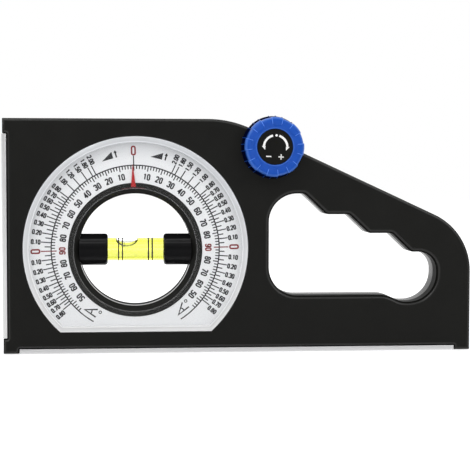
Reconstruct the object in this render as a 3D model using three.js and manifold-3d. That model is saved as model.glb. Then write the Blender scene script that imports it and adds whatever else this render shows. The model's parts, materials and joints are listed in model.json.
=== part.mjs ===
// Inclinometer with a hand grip: a level vial in a geared sight ring is turned by a knob until it is level,
// and a pointer on the ring then reads the slope on a printed dial.
// Millimetres, Z up. The sizes are laid out in a drawing frame: X runs right from the outer left edge,
// Z up from the corner blocks, and Y back from the front face. The exported group shifts that frame, so
// that the origin lies on the resting plane, below the middle of the object.

import * as THREE from "three";
import { mergeVertices } from "three/addons/utils/BufferGeometryUtils.js";
import Module from "manifold-3d";

// Fits shared by all pieces
const seatGap = 0.1; // between fixed pieces that touch
const runningGap = 0.3; // between a moving piece and a fixed one
const shaftGap = 0.06; // on the radius of a turning shaft
const overrun = 1; // how far a cutting tool passes a face
const facetDepth = 0.1; // how far a flat facet may lie inside its true curve
const bearingFacetDepth = 0.03; // the same where a shaft turns in its bore

// Housing: two shells that meet at half depth
const bodyLength = 200.4;
const bodyHeight = 99.35;
const bodyDepth = 16;
const faceWall = 2;
const rimWall = 2.2;
const edgeBevel = 1;
const sideStep = 1.85; // the side rail's recess at the left
const soleStep = 2.04; // the base rail's recess at the bottom
const topLipHeight = 6.32;
const heelLength = 6.58;
const heelHeight = 6.38;
const toeLength = 6.88;
const crownX = 96.06; // where the top edge and the slope would meet
const crownRadius = 43.8;
const noseHeight = 51.34; // where the slope and the right edge would meet
const noseRadius = 26.9;

// Rails: aluminium bars with a T-shaped foot that the shells clamp
const railProud = 0.27;
const railInset = 0.4; // from the housing's faces
const railChamfer = 0.6;
const railNeckWidth = 3;
const railHeadWidth = 6.4;
const railHeadHeight = 1.4;

// Sight ring, ring gear and vial, around one axis
const ringBore = 23.95; // radius of the sight hole
const ringWall = 4.25;
const ringLip = 2; // width of the dark bevel around the sight hole
const ringRecess = 0.3; // how far the ring's back lies inside the housing's back
const gearWeb = 7.8; // from the ring's outside to the gear's pitch circle
const gearFloorGap = 1.15; // between the gear's teeth and the base rail's foot
const ringFootWidth = 2.6; // the ribs of both shells that guide the gear
const ringScrewTurn = 45; // degrees, the first ring screw's place
const ringScrewCount = 4;

const socketRadius = 6.5;
const socketSpacing = 24.2; // between the two sockets' ends
const socketChamfer = 0.9;
const socketDepth = 6;
const socketNeckRadius = 2.2;
const socketNeckLength = 1.5;
const socketHeadRadius = 3.6;
const socketHeadLength = 1.3;
const vialRadius = 4.85;
const vialWall = 0.9;
const vialPlugLength = 2.6;
const bubbleLength = 9.4;
const bubbleDepth = 3.8;
const bubbleShift = -3.7; // the bubble stands left of the middle

// Dial, its clear cover and the pointer
const dialLeftMargin = 8.3;
const coverRadius = 47.61;
const coverRise = 0.55; // the cover's centre above the ring's
const coverShift = 0.3; // and to the right of it
const coverFlat = 35.3; // from the cover's centre down to its flat
const coverThickness = 1.8;
const coverProud = 0.9;
const coverRim = 2.4; // width of the bevel around the cover
const coverRimDrop = 0.7;
const coverSkirt = 1.7;
const coverLap = 2.2; // the cover's inner edge reaches over the ring
const dialThickness = 0.5;
const dialFloor = 1.5; // the front shell's wall behind the dial
const pointerThickness = 0.4;
const pointerReach = 36.6; // radius of the pointer's tip
const pointerHalfWidth = 1.1;
const pointerFootHalfAngle = 11; // degrees
const pointerFootWidth = 0.5;
const pointerTurn = 1.7; // degrees anticlockwise, as the dial is printed

// Gear train from the knob's pinion over an idler to the ring gear
const gearModule = 1;
const gearBacklash = 0.24;
const addendumShare = 0.85; // of the module
const dedendumShare = 1.2; // of the module
const pressureAngle = 20; // degrees
const pinionRadius = 7; // pitch radius
const idlerPinRadius = 2;
const idlerHubRadius = 4;
const idlerBossRadius = 3.6;
const idlerWasherRadius = 4.6;
const idlerWasherThickness = 0.5;
const idlerWindowCount = 5;
const idlerRim = 2.6; // between the idler's teeth and its windows
const idlerSpoke = 2.4;

// Knob, its shaft and their bearings
const knobX = 113.8;
const knobDrop = 11.95; // the knob's axis lies this far below the top edge
const knobRadius = 13.6;
const knobTaper = 0.8;
const knobReach = 11; // in front of the housing
const knobShoulder = 1.6;
const knobCrown = 0.4; // the face's outer edge lies this far behind its middle
const knobRibStart = 2.4; // behind the face
const knobWall = 1.8;
const knobHubRadius = 5;
const knobRibHeight = 0.35;
const knobRibHalfAngle = 1.2; // degrees
const knobPadCount = 8;
const knobRibSpacing = 12.5; // degrees between the ribs of one pad
const knobPadTurn = -5; // degrees, the first pad's place
const capRadius = 7.4;
const capThickness = 1.4;
const capProud = 0.15;
const capBevel = 0.3;
const shaftRadius = 2.5;
const shaftFlat = 0.6; // depth of the flats that the knob and the pinion grip
const shaftCollarRadius = 3.8;
const shaftCollarThickness = 0.8;
const shaftGrooveDepth = 0.5;
const bushWall = 1.4;
const bushFlange = 1.3;
const bushFlangeThickness = 0.8;
const bushDepth = 2;
const bushCover = 0.75; // the housing's wall behind the rear bush
const bossWall = 1.8;
const springThickness = 0.4;
const springDish = 0.5;
const clipThickness = 0.5;
const clipWidth = 1.6;
const clipMouth = 2.4;
const lobeClearance = 1; // between the pinion and the lobe that houses it

// Screws
const shellScrew = { shank: 1.25, head: 2.7, headHeight: 1.6, length: 10.5, cross: 0.6 };
const ringScrew = { shank: 0.8, head: 1.3, headHeight: 0.9, length: 9.5, cross: 0.4 };
const knobScrew = { shank: 1.3, head: 2.6, headHeight: 1.1, length: 7, cross: 0.6 };
const crossReachShare = 0.7; // of the screw head's radius
const crossDepthShare = 0.6; // of the screw head's height
const screwBossWall = 1.6;
const screwHeadSink = 0.5; // below the housing's back

// Handle opening: margins to the housing, and its stepped finger rests
const pillarWidth = 9.1; // between the dial cover and the opening
const handleFloor = 23.9;
const handleTop = 67.7;
const noseWall = 14.8;
const handleRadius = 12.2;
const handleHeelRadius = 12.2;
const handleNoseRadius = 8;
const handleDip = 3;
const fingerRadius = 2.4;
const rimRadius = 1.7; // rounding around the opening's front
const backRimRadius = 0.4;
const topShare = 0.21; // of the opening's length
const fingerShares = [
  [0.339, 0.475, 0.797],
  [0.593, 0.73, 0.611],
  [0.847, null, 0.425],
]; // a rest's start and end along the opening's length, and its height
const dipShares = [0.788, 0.7]; // the dip's near and far ends along the opening's length

// Places of the housing screws
const endScrewInset = 9.8; // of the three corner screws, from the body's ends
const topScrewDrop = 9.94;
const heelScrewHeight = 10.23;
const toeScrewHeight = 11.23;
const crownScrewInset = 18.06; // left of the point where the top edge and the slope would meet
const crownScrewDrop = 6.26;
const pillarScrewInset = 6.62; // left of the handle opening
const pillarScrewHeight = 12.52;
const slopeScrewShares = [
  [0.2244, 0.752],
  [0.6218, 0.609],
]; // along the handle opening, and of the body's height

// Finishes
const blackPlastic = { color: 0x1e1e1c, roughness: 0.55, metalness: 0 };
const glossBlack = { color: 0x111112, roughness: 0.25, metalness: 0 };
const clearPlastic = { color: 0xe9edf0, roughness: 0.08, metalness: 0, transparent: true, opacity: 0.3 };
const whitePrint = { color: 0xe4e5e7, roughness: 0.5, metalness: 0 };
const redPlastic = { color: 0xb3181c, roughness: 0.4, metalness: 0 };
const aluminium = { color: 0xd2d3d5, roughness: 0.35, metalness: 0.9 };
const steel = { color: 0xa9abad, roughness: 0.3, metalness: 1 };
const brass = { color: 0xb8954c, roughness: 0.35, metalness: 1 };
const whiteNylon = { color: 0xdcd9cd, roughness: 0.5, metalness: 0 };
const bluePlastic = { color: 0x2158bc, roughness: 0.4, metalness: 0 };
const liquid = { color: 0xf4ff7a, roughness: 0.05, metalness: 0, transparent: true, opacity: 0.7 };

const degree = Math.PI / 180;
const fullTurn = 2 * Math.PI;

// Derived places and levels
const splitY = bodyDepth / 2;
const pointerFront = coverThickness - coverProud + runningGap;
const dialFront = pointerFront + pointerThickness + runningGap;
const recessFloor = dialFront + dialThickness + seatGap;
const ringFront = pointerFront + pointerThickness + seatGap;
const ringBack = bodyDepth - ringRecess;
const ringRadius = ringBore + ringWall;
const ringPassage = ringRadius + runningGap;
const gearFront = splitY + seatGap / 2;
const gearBack = bodyDepth - bushCover - bushDepth - clipThickness - 2 * seatGap;
const ringTeeth = Math.round((2 * (ringRadius + gearWeb)) / gearModule);
const pinionTeeth = Math.round((2 * pinionRadius) / gearModule);
const ringPitch = (ringTeeth * gearModule) / 2;
const pinionPitch = (pinionTeeth * gearModule) / 2;
const ringTip = ringPitch + addendumShare * gearModule;
const ringZ = soleStep + rimWall + seatGap + railHeadHeight + gearFloorGap + ringTip;
const coverX = dialLeftMargin + coverRadius;
const coverZ = ringZ + coverRise;
const ringX = coverX - coverShift;
const knobZ = bodyHeight - knobDrop;
const lobeBore = pinionPitch + addendumShare * gearModule + lobeClearance;
const lobeRadius = lobeBore + rimWall;

// The idler has the first tooth count that spans the way from the ring gear to the pinion. Its centre
// lies where the circles of both centre distances cross, on the side of the top edge.
const trainAngle = Math.atan2(knobZ - ringZ, knobX - ringX);
const trainLength = Math.hypot(knobX - ringX, knobZ - ringZ);
const idlerTeeth = Math.ceil((trainLength - ringPitch - pinionPitch) / gearModule);
const idlerPitch = (idlerTeeth * gearModule) / 2;
const ringToIdler = ringPitch + idlerPitch;
const idlerToKnob = idlerPitch + pinionPitch;
const idlerAngle =
  trainAngle +
  Math.acos((ringToIdler ** 2 + trainLength ** 2 - idlerToKnob ** 2) / (2 * ringToIdler * trainLength));
const idlerX = ringX + ringToIdler * Math.cos(idlerAngle);
const idlerZ = ringZ + ringToIdler * Math.sin(idlerAngle);
const knobAngle = Math.atan2(knobZ - idlerZ, knobX - idlerX);

const wasm = await Module();
wasm.setup();

// A closed geometry as a solid, without the seams and the slivers at the poles
function solidFrom(geometry) {
  geometry.deleteAttribute("normal");
  geometry.deleteAttribute("uv");
  const merged = mergeVertices(geometry);
  const triangles = [];
  for (let i = 0; i < merged.index.count; i += 3) {
    const [a, b, c] = [merged.index.getX(i), merged.index.getX(i + 1), merged.index.getX(i + 2)];
    if (a !== b && b !== c && c !== a) {
      triangles.push(a, b, c);
    }
  }
  return new wasm.Manifold(
    new wasm.Mesh({
      numProp: 3,
      vertProperties: merged.attributes.position.array,
      triVerts: new Uint32Array(triangles),
    }),
  );
}

function joined(solids) {
  return solids.reduce((all, next) => all.add(next));
}

function without(solid, cuts) {
  return cuts.reduce((left, cut) => left.subtract(cut), solid);
}

// Facets that a circle needs to stay within the facet depth, in fours so that the quarters match
function circleSteps(radius, depth = facetDepth) {
  return 4 * Math.ceil(Math.PI / (4 * Math.acos(1 - depth / radius)));
}

// Points of an arc around the origin
function arcPoints(radius, from, to, depth = facetDepth) {
  const steps = Math.ceil(Math.abs(to - from) / (2 * Math.acos(1 - depth / radius)));
  return Array.from({ length: steps + 1 }, (_, i) => {
    const around = from + ((to - from) * i) / steps;
    return [radius * Math.cos(around), radius * Math.sin(around)];
  });
}

// Round bar along Y
function bar(radius, front, back, x = 0, z = 0, steps = circleSteps(radius)) {
  const geometry = new THREE.CylinderGeometry(radius, radius, back - front, steps);
  geometry.translate(x, (front + back) / 2, z);
  return solidFrom(geometry);
}

// Round bar along Y that turns in a bore, or that bore itself
function journal(radius, front, back) {
  return bar(radius, front, back, 0, 0, circleSteps(radius, bearingFacetDepth));
}

// Body turned around Y from a closed profile of [radius, y] points, in either direction
function turned(profile, steps) {
  const points = profile.map(([radius, y]) => new THREE.Vector2(radius, y));
  if (THREE.ShapeUtils.area(points) < 0) {
    points.reverse();
  }
  return solidFrom(new THREE.LatheGeometry([...points, points[0]], steps));
}

function ring(inner, outer, front, back, steps = circleSteps(outer)) {
  const profile = [
    [inner, front],
    [inner, back],
    [outer, back],
    [outer, front],
  ];
  return turned(profile, steps);
}

function box(left, right, front, back, low, high) {
  const geometry = new THREE.BoxGeometry(right - left, back - front, high - low);
  geometry.translate((left + right) / 2, (front + back) / 2, (low + high) / 2);
  return solidFrom(geometry);
}

// Solid through outlines of equally many [x, z] points, each at its own depth
function lofted(levels) {
  const count = levels[0].outline.length;
  const positions = levels.flatMap(({ outline, y }) => outline.flatMap(([x, z]) => [x, y, z]));
  const triangles = [];
  for (let level = 0; level < levels.length - 1; level += 1) {
    for (let i = 0; i < count; i += 1) {
      const next = (i + 1) % count;
      const [a, b] = [level * count + i, level * count + next];
      triangles.push(a, a + count, b, b, a + count, b + count);
    }
  }
  const cap = (outline) =>
    THREE.ShapeUtils.triangulateShape(
      outline.map(([x, z]) => new THREE.Vector2(x, z)),
      [],
    );
  const last = (levels.length - 1) * count;
  cap(levels[0].outline).forEach(([a, b, c]) => triangles.push(a, b, c));
  cap(levels[levels.length - 1].outline).forEach(([a, b, c]) => triangles.push(last + a, last + c, last + b));
  const geometry = new THREE.BufferGeometry();
  geometry.setAttribute("position", new THREE.Float32BufferAttribute(positions, 3));
  geometry.setIndex(triangles);
  return solidFrom(geometry);
}

function plate(outline, front, back) {
  return lofted([
    { outline, y: front },
    { outline, y: back },
  ]);
}

// Each corner with the direction of the side before it, its turn, and its radius. Where the roundings at both
// ends of a side don't fit on it, both shrink alike.
function fittedCorners(corners) {
  const last = corners.length - 1;
  const sides = corners.map(([x, z], i) => {
    const [afterX, afterZ] = corners[i === last ? 0 : i + 1];
    return { heading: Math.atan2(afterZ - z, afterX - x), length: Math.hypot(afterX - x, afterZ - z) };
  });
  const entries = corners.map((_, i) => sides[i === 0 ? last : i - 1].heading);
  const turns = sides.map(({ heading }, i) => {
    const change = heading - entries[i];
    return Math.atan2(Math.sin(change), Math.cos(change));
  });
  const reaches = corners.map(([, , radius], i) => radius * Math.tan(Math.abs(turns[i]) / 2));
  const fits = sides.map(({ length }, i) => {
    const needed = reaches[i] + reaches[i === last ? 0 : i + 1];
    return Math.min(1, length / needed);
  });
  return corners.map(([x, z, radius], i) => {
    const fit = Math.min(fits[i], fits[i === 0 ? last : i - 1]);
    return { x, z, entry: entries[i], turn: turns[i], radius: radius * fit };
  });
}

// Outline with rounded corners, anticlockwise, from [x, z, radius] corners. Grow moves every side outwards.
function roundedOutline(corners, grow) {
  const points = [];
  fittedCorners(corners).forEach(({ x, z, entry, turn, radius }) => {
    const side = Math.sign(turn);
    const outward = entry + turn / 2 - Math.PI / 2;
    const shift = grow / Math.cos(turn / 2);
    const corner = [x + shift * Math.cos(outward), z + shift * Math.sin(outward)];
    if (radius === 0) {
      points.push(corner);
      return;
    }
    const grown = Math.max(radius + side * grow, facetDepth);
    const reach = grown * Math.tan(Math.abs(turn) / 2);
    const centre = [
      corner[0] - reach * Math.cos(entry) - side * grown * Math.sin(entry),
      corner[1] - reach * Math.sin(entry) + side * grown * Math.cos(entry),
    ];
    const steps = Math.max(2, Math.ceil(Math.abs(turn) / (2 * Math.acos(1 - facetDepth / radius))));
    for (let step = 0; step <= steps; step += 1) {
      const around = entry + (turn * step) / steps - (side * Math.PI) / 2;
      points.push([centre[0] + grown * Math.cos(around), centre[1] + grown * Math.sin(around)]);
    }
  });
  return points;
}

const bodyCorners = [
  [0, 0, 0],
  [heelLength, 0, 0],
  [heelLength, soleStep, 0],
  [bodyLength - toeLength, soleStep, 0],
  [bodyLength - toeLength, 0, 0],
  [bodyLength, 0, 0],
  [bodyLength, noseHeight, noseRadius],
  [crownX, bodyHeight, crownRadius],
  [0, bodyHeight, 0],
  [0, bodyHeight - topLipHeight, 0],
  [sideStep, bodyHeight - topLipHeight, 0],
  [sideStep, heelHeight, 0],
  [0, heelHeight, 0],
];

const cavityCorners = [
  [sideStep, soleStep, 0],
  [bodyLength, soleStep, 0],
  [bodyLength, noseHeight, noseRadius],
  [crownX, bodyHeight, crownRadius],
  [sideStep, bodyHeight, 0],
];

const handleLeft = coverX + coverRadius + pillarWidth;
const handleRight = bodyLength - noseWall;

function handleCorners() {
  const length = handleRight - handleLeft;
  const height = handleTop - handleFloor;
  const along = (share) => handleLeft + share * length;
  const fingers = fingerShares.flatMap(([start, end, rise]) => {
    const level = handleFloor + rise * height;
    const rest = end === null ? [handleRight, level, handleNoseRadius] : [along(end), level, fingerRadius];
    return [rest, [along(start), level, fingerRadius]].reverse();
  });
  const [dipNear, dipFar] = dipShares;
  return [
    [handleLeft, handleFloor, handleRadius],
    [along(dipFar), handleFloor, handleHeelRadius],
    [along(dipNear), handleFloor - handleDip, handleNoseRadius],
    [handleRight, handleFloor - handleDip, handleHeelRadius],
    ...fingers.reverse(),
    [along(topShare), handleTop, fingerRadius],
    [handleLeft, handleTop, handleRadius],
  ];
}

// Round disc with a flat at the bottom, as the dial and its cover have
function dialOutline(grow) {
  const radius = coverRadius + grow;
  const flat = coverFlat + grow;
  const gap = Math.acos(flat / radius);
  const steps = circleSteps(coverRadius);
  return Array.from({ length: steps + 1 }, (_, i) => {
    const around = -Math.PI / 2 + gap + ((fullTurn - 2 * gap) * i) / steps;
    return [coverX + radius * Math.cos(around), coverZ + radius * Math.sin(around)];
  });
}

// Each flank is one facet between two points of its involute
function gearOutline(teeth, firstTooth) {
  const pitch = (teeth * gearModule) / 2;
  const base = pitch * Math.cos(pressureAngle * degree);
  const involute = (angle) => Math.tan(angle) - angle;
  const halfTooth = (radius) =>
    Math.PI / (2 * teeth) -
    gearBacklash / (4 * pitch) +
    involute(pressureAngle * degree) -
    (radius > base ? involute(Math.acos(base / radius)) : 0);
  const radii = [pitch - dedendumShare * gearModule, pitch + addendumShare * gearModule];
  const points = [];
  for (let tooth = 0; tooth < teeth; tooth += 1) {
    const middle = firstTooth + (tooth * fullTurn) / teeth;
    radii.forEach((radius) => points.push([radius, middle - halfTooth(radius)]));
    [...radii].reverse().forEach((radius) => points.push([radius, middle + halfTooth(radius)]));
  }
  return points.map(([radius, around]) => [radius * Math.cos(around), radius * Math.sin(around)]);
}

// First tooth of a gear whose gap takes the other gear's tooth, with the line of centres at the angle
function meshedTooth(drivenTeeth, driverTeeth, driverTooth, angle) {
  return angle + Math.PI - ((driverTooth - angle) * driverTeeth) / drivenTeeth + Math.PI / drivenTeeth;
}

const ringTooth = 0;
const idlerTooth = meshedTooth(idlerTeeth, ringTeeth, ringTooth, idlerAngle);
const pinionTooth = meshedTooth(pinionTeeth, idlerTeeth, idlerTooth, knobAngle);

// A screw's head starts at zero and its shank runs forwards, along -Y, where the screw goes in from the back
function screw({ shank, head, headHeight, length, cross }) {
  const arm = crossReachShare * head;
  const depth = crossDepthShare * headHeight;
  const recess = [
    box(-arm, arm, -depth, overrun, -cross / 2, cross / 2),
    box(-cross / 2, cross / 2, -depth, overrun, -arm, arm),
  ];
  const blank = bar(shank, -length, -headHeight / 2).add(bar(head, -headHeight, 0));
  return without(blank, recess);
}

function screwPlaces() {
  const alongHandle = (share) => handleLeft + share * (handleRight - handleLeft);
  return [
    [endScrewInset, bodyHeight - topScrewDrop],
    [endScrewInset, heelScrewHeight],
    [crownX - crownScrewInset, bodyHeight - crownScrewDrop],
    ...slopeScrewShares.map(([along, up]) => [alongHandle(along), up * bodyHeight]),
    [bodyLength - endScrewInset, toeScrewHeight],
    [handleLeft - pillarScrewInset, pillarScrewHeight],
  ];
}

// Both shells: a bevelled outside with the knob's lobe, open on the side where they meet
function shellBody(isFront) {
  const face = isFront ? 0 : bodyDepth;
  const inwards = isFront ? 1 : -1;
  const split = splitY - (inwards * seatGap) / 2;
  const level = (depth) => face + inwards * depth;
  const order = (levels) => (isFront ? levels : [...levels].reverse());
  const skin = lofted(
    order([
      { outline: roundedOutline(bodyCorners, -edgeBevel), y: face },
      { outline: roundedOutline(bodyCorners, 0), y: level(edgeBevel) },
      { outline: roundedOutline(bodyCorners, 0), y: split },
    ]),
  );
  const lobe = turned(
    [
      [0, face],
      [lobeRadius - edgeBevel, face],
      [lobeRadius, level(edgeBevel)],
      [lobeRadius, split],
      [0, split],
    ],
    circleSteps(lobeRadius),
  ).translate([knobX, 0, knobZ]);
  const [low, high] = isFront ? [level(faceWall), split + overrun] : [split - overrun, level(faceWall)];
  const handleWall = plate(roundedOutline(handleCorners(), rimWall), low - overrun, high + overrun);
  const cavity = plate(roundedOutline(cavityCorners, -rimWall), low, high)
    .add(bar(lobeBore, low, high, knobX, knobZ))
    .subtract(handleWall);
  const rim = isFront ? rimRadius : backRimRadius;
  const rimMid = rim * (1 - Math.SQRT1_2); // the rounding's level at half of its quarter turn
  const opening = lofted(
    order([
      { outline: roundedOutline(handleCorners(), rim), y: level(-overrun) },
      { outline: roundedOutline(handleCorners(), rim), y: face },
      { outline: roundedOutline(handleCorners(), rimMid), y: level(rimMid) },
      { outline: roundedOutline(handleCorners(), 0), y: level(rim) },
      { outline: roundedOutline(handleCorners(), 0), y: split + inwards * overrun },
    ]),
  );
  return without(skin.add(lobe), [cavity, opening]);
}

// The slots along the split that the rails' necks run in
function railSlots(front, back) {
  const half = railNeckWidth / 2 + seatGap;
  const [low, high] = [Math.max(front, splitY - half), Math.min(back, splitY + half)];
  return [
    box(heelLength, bodyLength - toeLength, low, high, 0, soleStep + rimWall + seatGap),
    box(0, sideStep + rimWall + seatGap, low, high, heelHeight, bodyHeight - topLipHeight),
  ];
}

function frontShell() {
  const split = splitY - seatGap / 2;
  const pocketRadius = seatGap + coverRadius;
  const dialSeat = plate(dialOutline(rimWall), faceWall / 2, recessFloor + dialFloor);
  const gearGuide = bar(ringPassage + ringFootWidth, recessFloor, gearFront - runningGap, ringX, ringZ);
  const screwPosts = screwPlaces().map(([x, z]) =>
    bar(shellScrew.shank + screwBossWall, faceWall / 2, split, x, z),
  );
  const idlerPost = bar(idlerBossRadius, faceWall / 2, gearFront - runningGap, idlerX, idlerZ);
  const bushBoss = bar(bushRadius + bossWall, faceWall / 2, bushFlangeFront - seatGap, knobX, knobZ);
  const screwHoles = screwPlaces().map(([x, z]) =>
    bar(shellScrew.shank + seatGap, screwTip - overrun, split + overrun, x, z),
  );
  return without(joined([shellBody(true), dialSeat, gearGuide, idlerPost, bushBoss, ...screwPosts]), [
    plate(dialOutline(pocketRadius - coverRadius), -overrun, recessFloor),
    bar(ringPassage, -overrun, split + overrun, ringX, ringZ),
    bar(idlerPinRadius + seatGap, idlerPinFront - seatGap, split + overrun, idlerX, idlerZ),
    bar(bushRadius + seatGap, -overrun, split + overrun, knobX, knobZ),
    ...screwHoles,
    ...railSlots(-overrun, split + overrun),
  ]);
}

function rearShell() {
  const split = splitY + seatGap / 2;
  const inWall = bodyDepth - faceWall / 2;
  const gearGuide = bar(ringPassage + ringFootWidth, gearBack + runningGap, inWall, ringX, ringZ);
  const headRadius = shellScrew.head + runningGap;
  const screwPosts = screwPlaces().map(([x, z]) => bar(headRadius + seatGap, split, inWall, x, z));
  const idlerPost = bar(idlerBossRadius, idlerWasherBack + seatGap, inWall, idlerX, idlerZ);
  const bushBoss = bar(bushRadius + bossWall, rearBushFront + seatGap, inWall, knobX, knobZ);
  const screwHoles = screwPlaces().flatMap(([x, z]) => [
    bar(shellScrew.shank + seatGap, split - overrun, bodyDepth, x, z),
    bar(headRadius, screwHeadFront - seatGap, bodyDepth + overrun, x, z),
  ]);
  return without(joined([shellBody(false), gearGuide, idlerPost, bushBoss, ...screwPosts]), [
    bar(ringPassage, split - overrun, bodyDepth + overrun, ringX, ringZ),
    bar(idlerPinRadius + seatGap, split - overrun, idlerPinBack + seatGap, idlerX, idlerZ),
    bar(bushRadius + seatGap, split - overrun, rearBushBack + seatGap, knobX, knobZ),
    ...screwHoles,
    ...railSlots(split - overrun, bodyDepth + overrun),
  ]);
}

// T-section of a rail across its length: the outer plate, a neck and a head that the shells hold
function railSection(plateHeight) {
  const [front, back] = [railInset, bodyDepth - railInset];
  const neckTop = plateHeight + seatGap + rimWall + seatGap;
  const headTop = neckTop + railHeadHeight;
  return [
    [front + railChamfer, 0],
    [back - railChamfer, 0],
    [back, railChamfer],
    [back, plateHeight],
    [splitY + railNeckWidth / 2, plateHeight],
    [splitY + railNeckWidth / 2, neckTop],
    [splitY + railHeadWidth / 2, neckTop],
    [splitY + railHeadWidth / 2, headTop],
    [splitY - railHeadWidth / 2, headTop],
    [splitY - railHeadWidth / 2, neckTop],
    [splitY - railNeckWidth / 2, neckTop],
    [splitY - railNeckWidth / 2, plateHeight],
    [front, plateHeight],
    [front, railChamfer],
  ];
}

// The section's first axis becomes Y and its second Z; the bar runs along X from zero
function rail(plateHeight, length) {
  const shape = new THREE.Shape(railSection(plateHeight).map(([y, z]) => new THREE.Vector2(y, z)));
  const geometry = new THREE.ExtrudeGeometry(shape, { depth: length, bevelEnabled: false });
  geometry.rotateX(Math.PI / 2);
  geometry.rotateZ(Math.PI / 2);
  return solidFrom(geometry);
}

function dialCover() {
  const disc = lofted([
    { outline: dialOutline(-coverRim), y: -coverProud },
    { outline: dialOutline(0), y: -coverProud + coverRimDrop },
    { outline: dialOutline(0), y: recessFloor - seatGap },
  ]);
  const inside = plate(dialOutline(-coverSkirt), coverThickness - coverProud, recessFloor + overrun);
  const hole = bar(ringRadius - coverLap, -coverProud - overrun, recessFloor, ringX, ringZ);
  return without(disc, [inside, hole]);
}

function dialPlate() {
  const disc = plate(dialOutline(-coverSkirt - seatGap), dialFront, dialFront + dialThickness);
  return disc.subtract(bar(ringPassage, dialFront - overrun, recessFloor + overrun, ringX, ringZ));
}

// Pockets in the ring's two halves for the sockets' necks and heads, and for the ring screws
function socketPockets() {
  const neck = new THREE.CylinderGeometry(
    socketNeckRadius + seatGap,
    socketNeckRadius + seatGap,
    2 * (ringBore + socketNeckLength + seatGap),
    circleSteps(socketNeckRadius),
  );
  neck.rotateZ(Math.PI / 2).translate(0, splitY, 0);
  const headStart = ringBore + socketNeckLength - seatGap;
  const headLength = socketHeadLength + 2 * seatGap;
  const heads = [-1, 1].map((side) => {
    const head = new THREE.CylinderGeometry(
      socketHeadRadius + seatGap,
      socketHeadRadius + seatGap,
      headLength,
      circleSteps(socketHeadRadius),
    );
    head.rotateZ(Math.PI / 2).translate(side * (headStart + headLength / 2), splitY, 0);
    return solidFrom(head);
  });
  return [solidFrom(neck), ...heads];
}

function ringScrewPlaces() {
  return Array.from({ length: ringScrewCount }, (_, i) => {
    const around = ringScrewTurn * degree + (i * fullTurn) / ringScrewCount;
    const radius = ringBore + ringWall / 2;
    return [radius * Math.cos(around), radius * Math.sin(around)];
  });
}

// Front half of the sight ring, with a bevel that slopes into the hole
function sightRing() {
  const back = splitY - seatGap / 2;
  const body = turned(
    [
      [ringBore, back],
      [ringRadius, back],
      [ringRadius, ringFront],
      [ringBore + ringLip, ringFront],
      [ringBore, ringFront + ringLip],
    ],
    circleSteps(ringRadius),
  );
  const holes = ringScrewPlaces().map(([x, z]) =>
    bar(ringScrew.shank + seatGap, ringBack - ringScrew.length - overrun, splitY, x, z),
  );
  return without(body, [...socketPockets(), ...holes]);
}

// Back half of the sight ring, in one piece with the ring gear
function ringGear() {
  const gear = plate(gearOutline(ringTeeth, ringTooth), gearFront, gearBack);
  const sleeve = bar(ringRadius, gearFront, ringBack);
  const screwHoles = ringScrewPlaces().flatMap(([x, z]) => [
    bar(ringScrew.shank + seatGap, 0, ringBack + overrun, x, z),
    bar(ringScrew.head + seatGap, ringBack - ringScrew.headHeight - seatGap, ringBack + overrun, x, z),
  ]);
  const hole = ring(0, ringBore, 0, ringBack + overrun, circleSteps(ringRadius));
  return without(gear.add(sleeve), [hole, ...socketPockets(), ...screwHoles]);
}

// Socket at the right of the vial; its neck and head are held between the ring's halves
function vialSocket() {
  const start = socketSpacing / 2;
  const wallEnd = ringBore - seatGap;
  const neckEnd = ringBore + socketNeckLength;
  const profile = [
    [0, start + socketDepth],
    [vialRadius + seatGap, start + socketDepth],
    [vialRadius + seatGap, start],
    [socketRadius - socketChamfer, start],
    [socketRadius, start + socketChamfer],
    [socketRadius, wallEnd],
    [0, wallEnd],
  ];
  const steps = circleSteps(socketRadius);
  const alongX = (solid) => solid.rotate([0, 0, -90]).translate([0, splitY, 0]);
  const cup = alongX(turned(profile, steps)).intersect(bar(wallEnd, 0, bodyDepth));
  const neck = alongX(bar(socketNeckRadius, start + socketDepth + vialWall, neckEnd + socketHeadLength / 2));
  const head = alongX(bar(socketHeadRadius, neckEnd, neckEnd + socketHeadLength));
  return joined([cup, neck, head]);
}

const vialLength = socketSpacing + 2 * (socketDepth - seatGap);

function vialTube() {
  return ring(vialRadius - vialWall, vialRadius, -vialLength / 2, vialLength / 2);
}

function vialPlug() {
  return bar(vialRadius - vialWall - seatGap, 0, vialPlugLength);
}

// The liquid fills the tube between the plugs, less its bubble at the top. Its length runs along Y.
function vialLiquid() {
  const half = vialLength / 2 - vialPlugLength - seatGap;
  const radius = vialRadius - vialWall - seatGap;
  const steps = circleSteps(bubbleLength / 2);
  const bubble = new THREE.SphereGeometry(1, steps, steps / 2);
  bubble.scale(bubbleDepth, bubbleLength / 2, bubbleDepth);
  bubble.translate(-radius, bubbleShift, 0);
  return bar(radius, -half, half).subtract(solidFrom(bubble));
}

// Flat wedge on the ring's front, with a short curved foot
function pointer() {
  const root = ringRadius - coverLap + seatGap;
  const foot = pointerFootHalfAngle * degree;
  const [left, right] = [Math.PI / 2 + foot, Math.PI / 2 - foot];
  const footOutline = [
    ...arcPoints(root, left, right, bearingFacetDepth),
    ...arcPoints(root + pointerFootWidth, right, left, bearingFacetDepth),
  ];
  const needle = [
    [-pointerHalfWidth, root],
    [pointerHalfWidth, root],
    [0, pointerReach],
  ];
  const back = pointerFront + pointerThickness;
  return plate(needle, pointerFront, back).add(plate(footOutline, pointerFront, back));
}

const idlerFront = gearFront + seatGap;
const idlerBack = gearBack - seatGap;
const idlerWasherFront = idlerBack + seatGap;
const idlerWasherBack = idlerWasherFront + idlerWasherThickness;
const idlerPinFront = faceWall + seatGap;
const idlerPinBack = bodyDepth - faceWall / 2;

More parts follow.
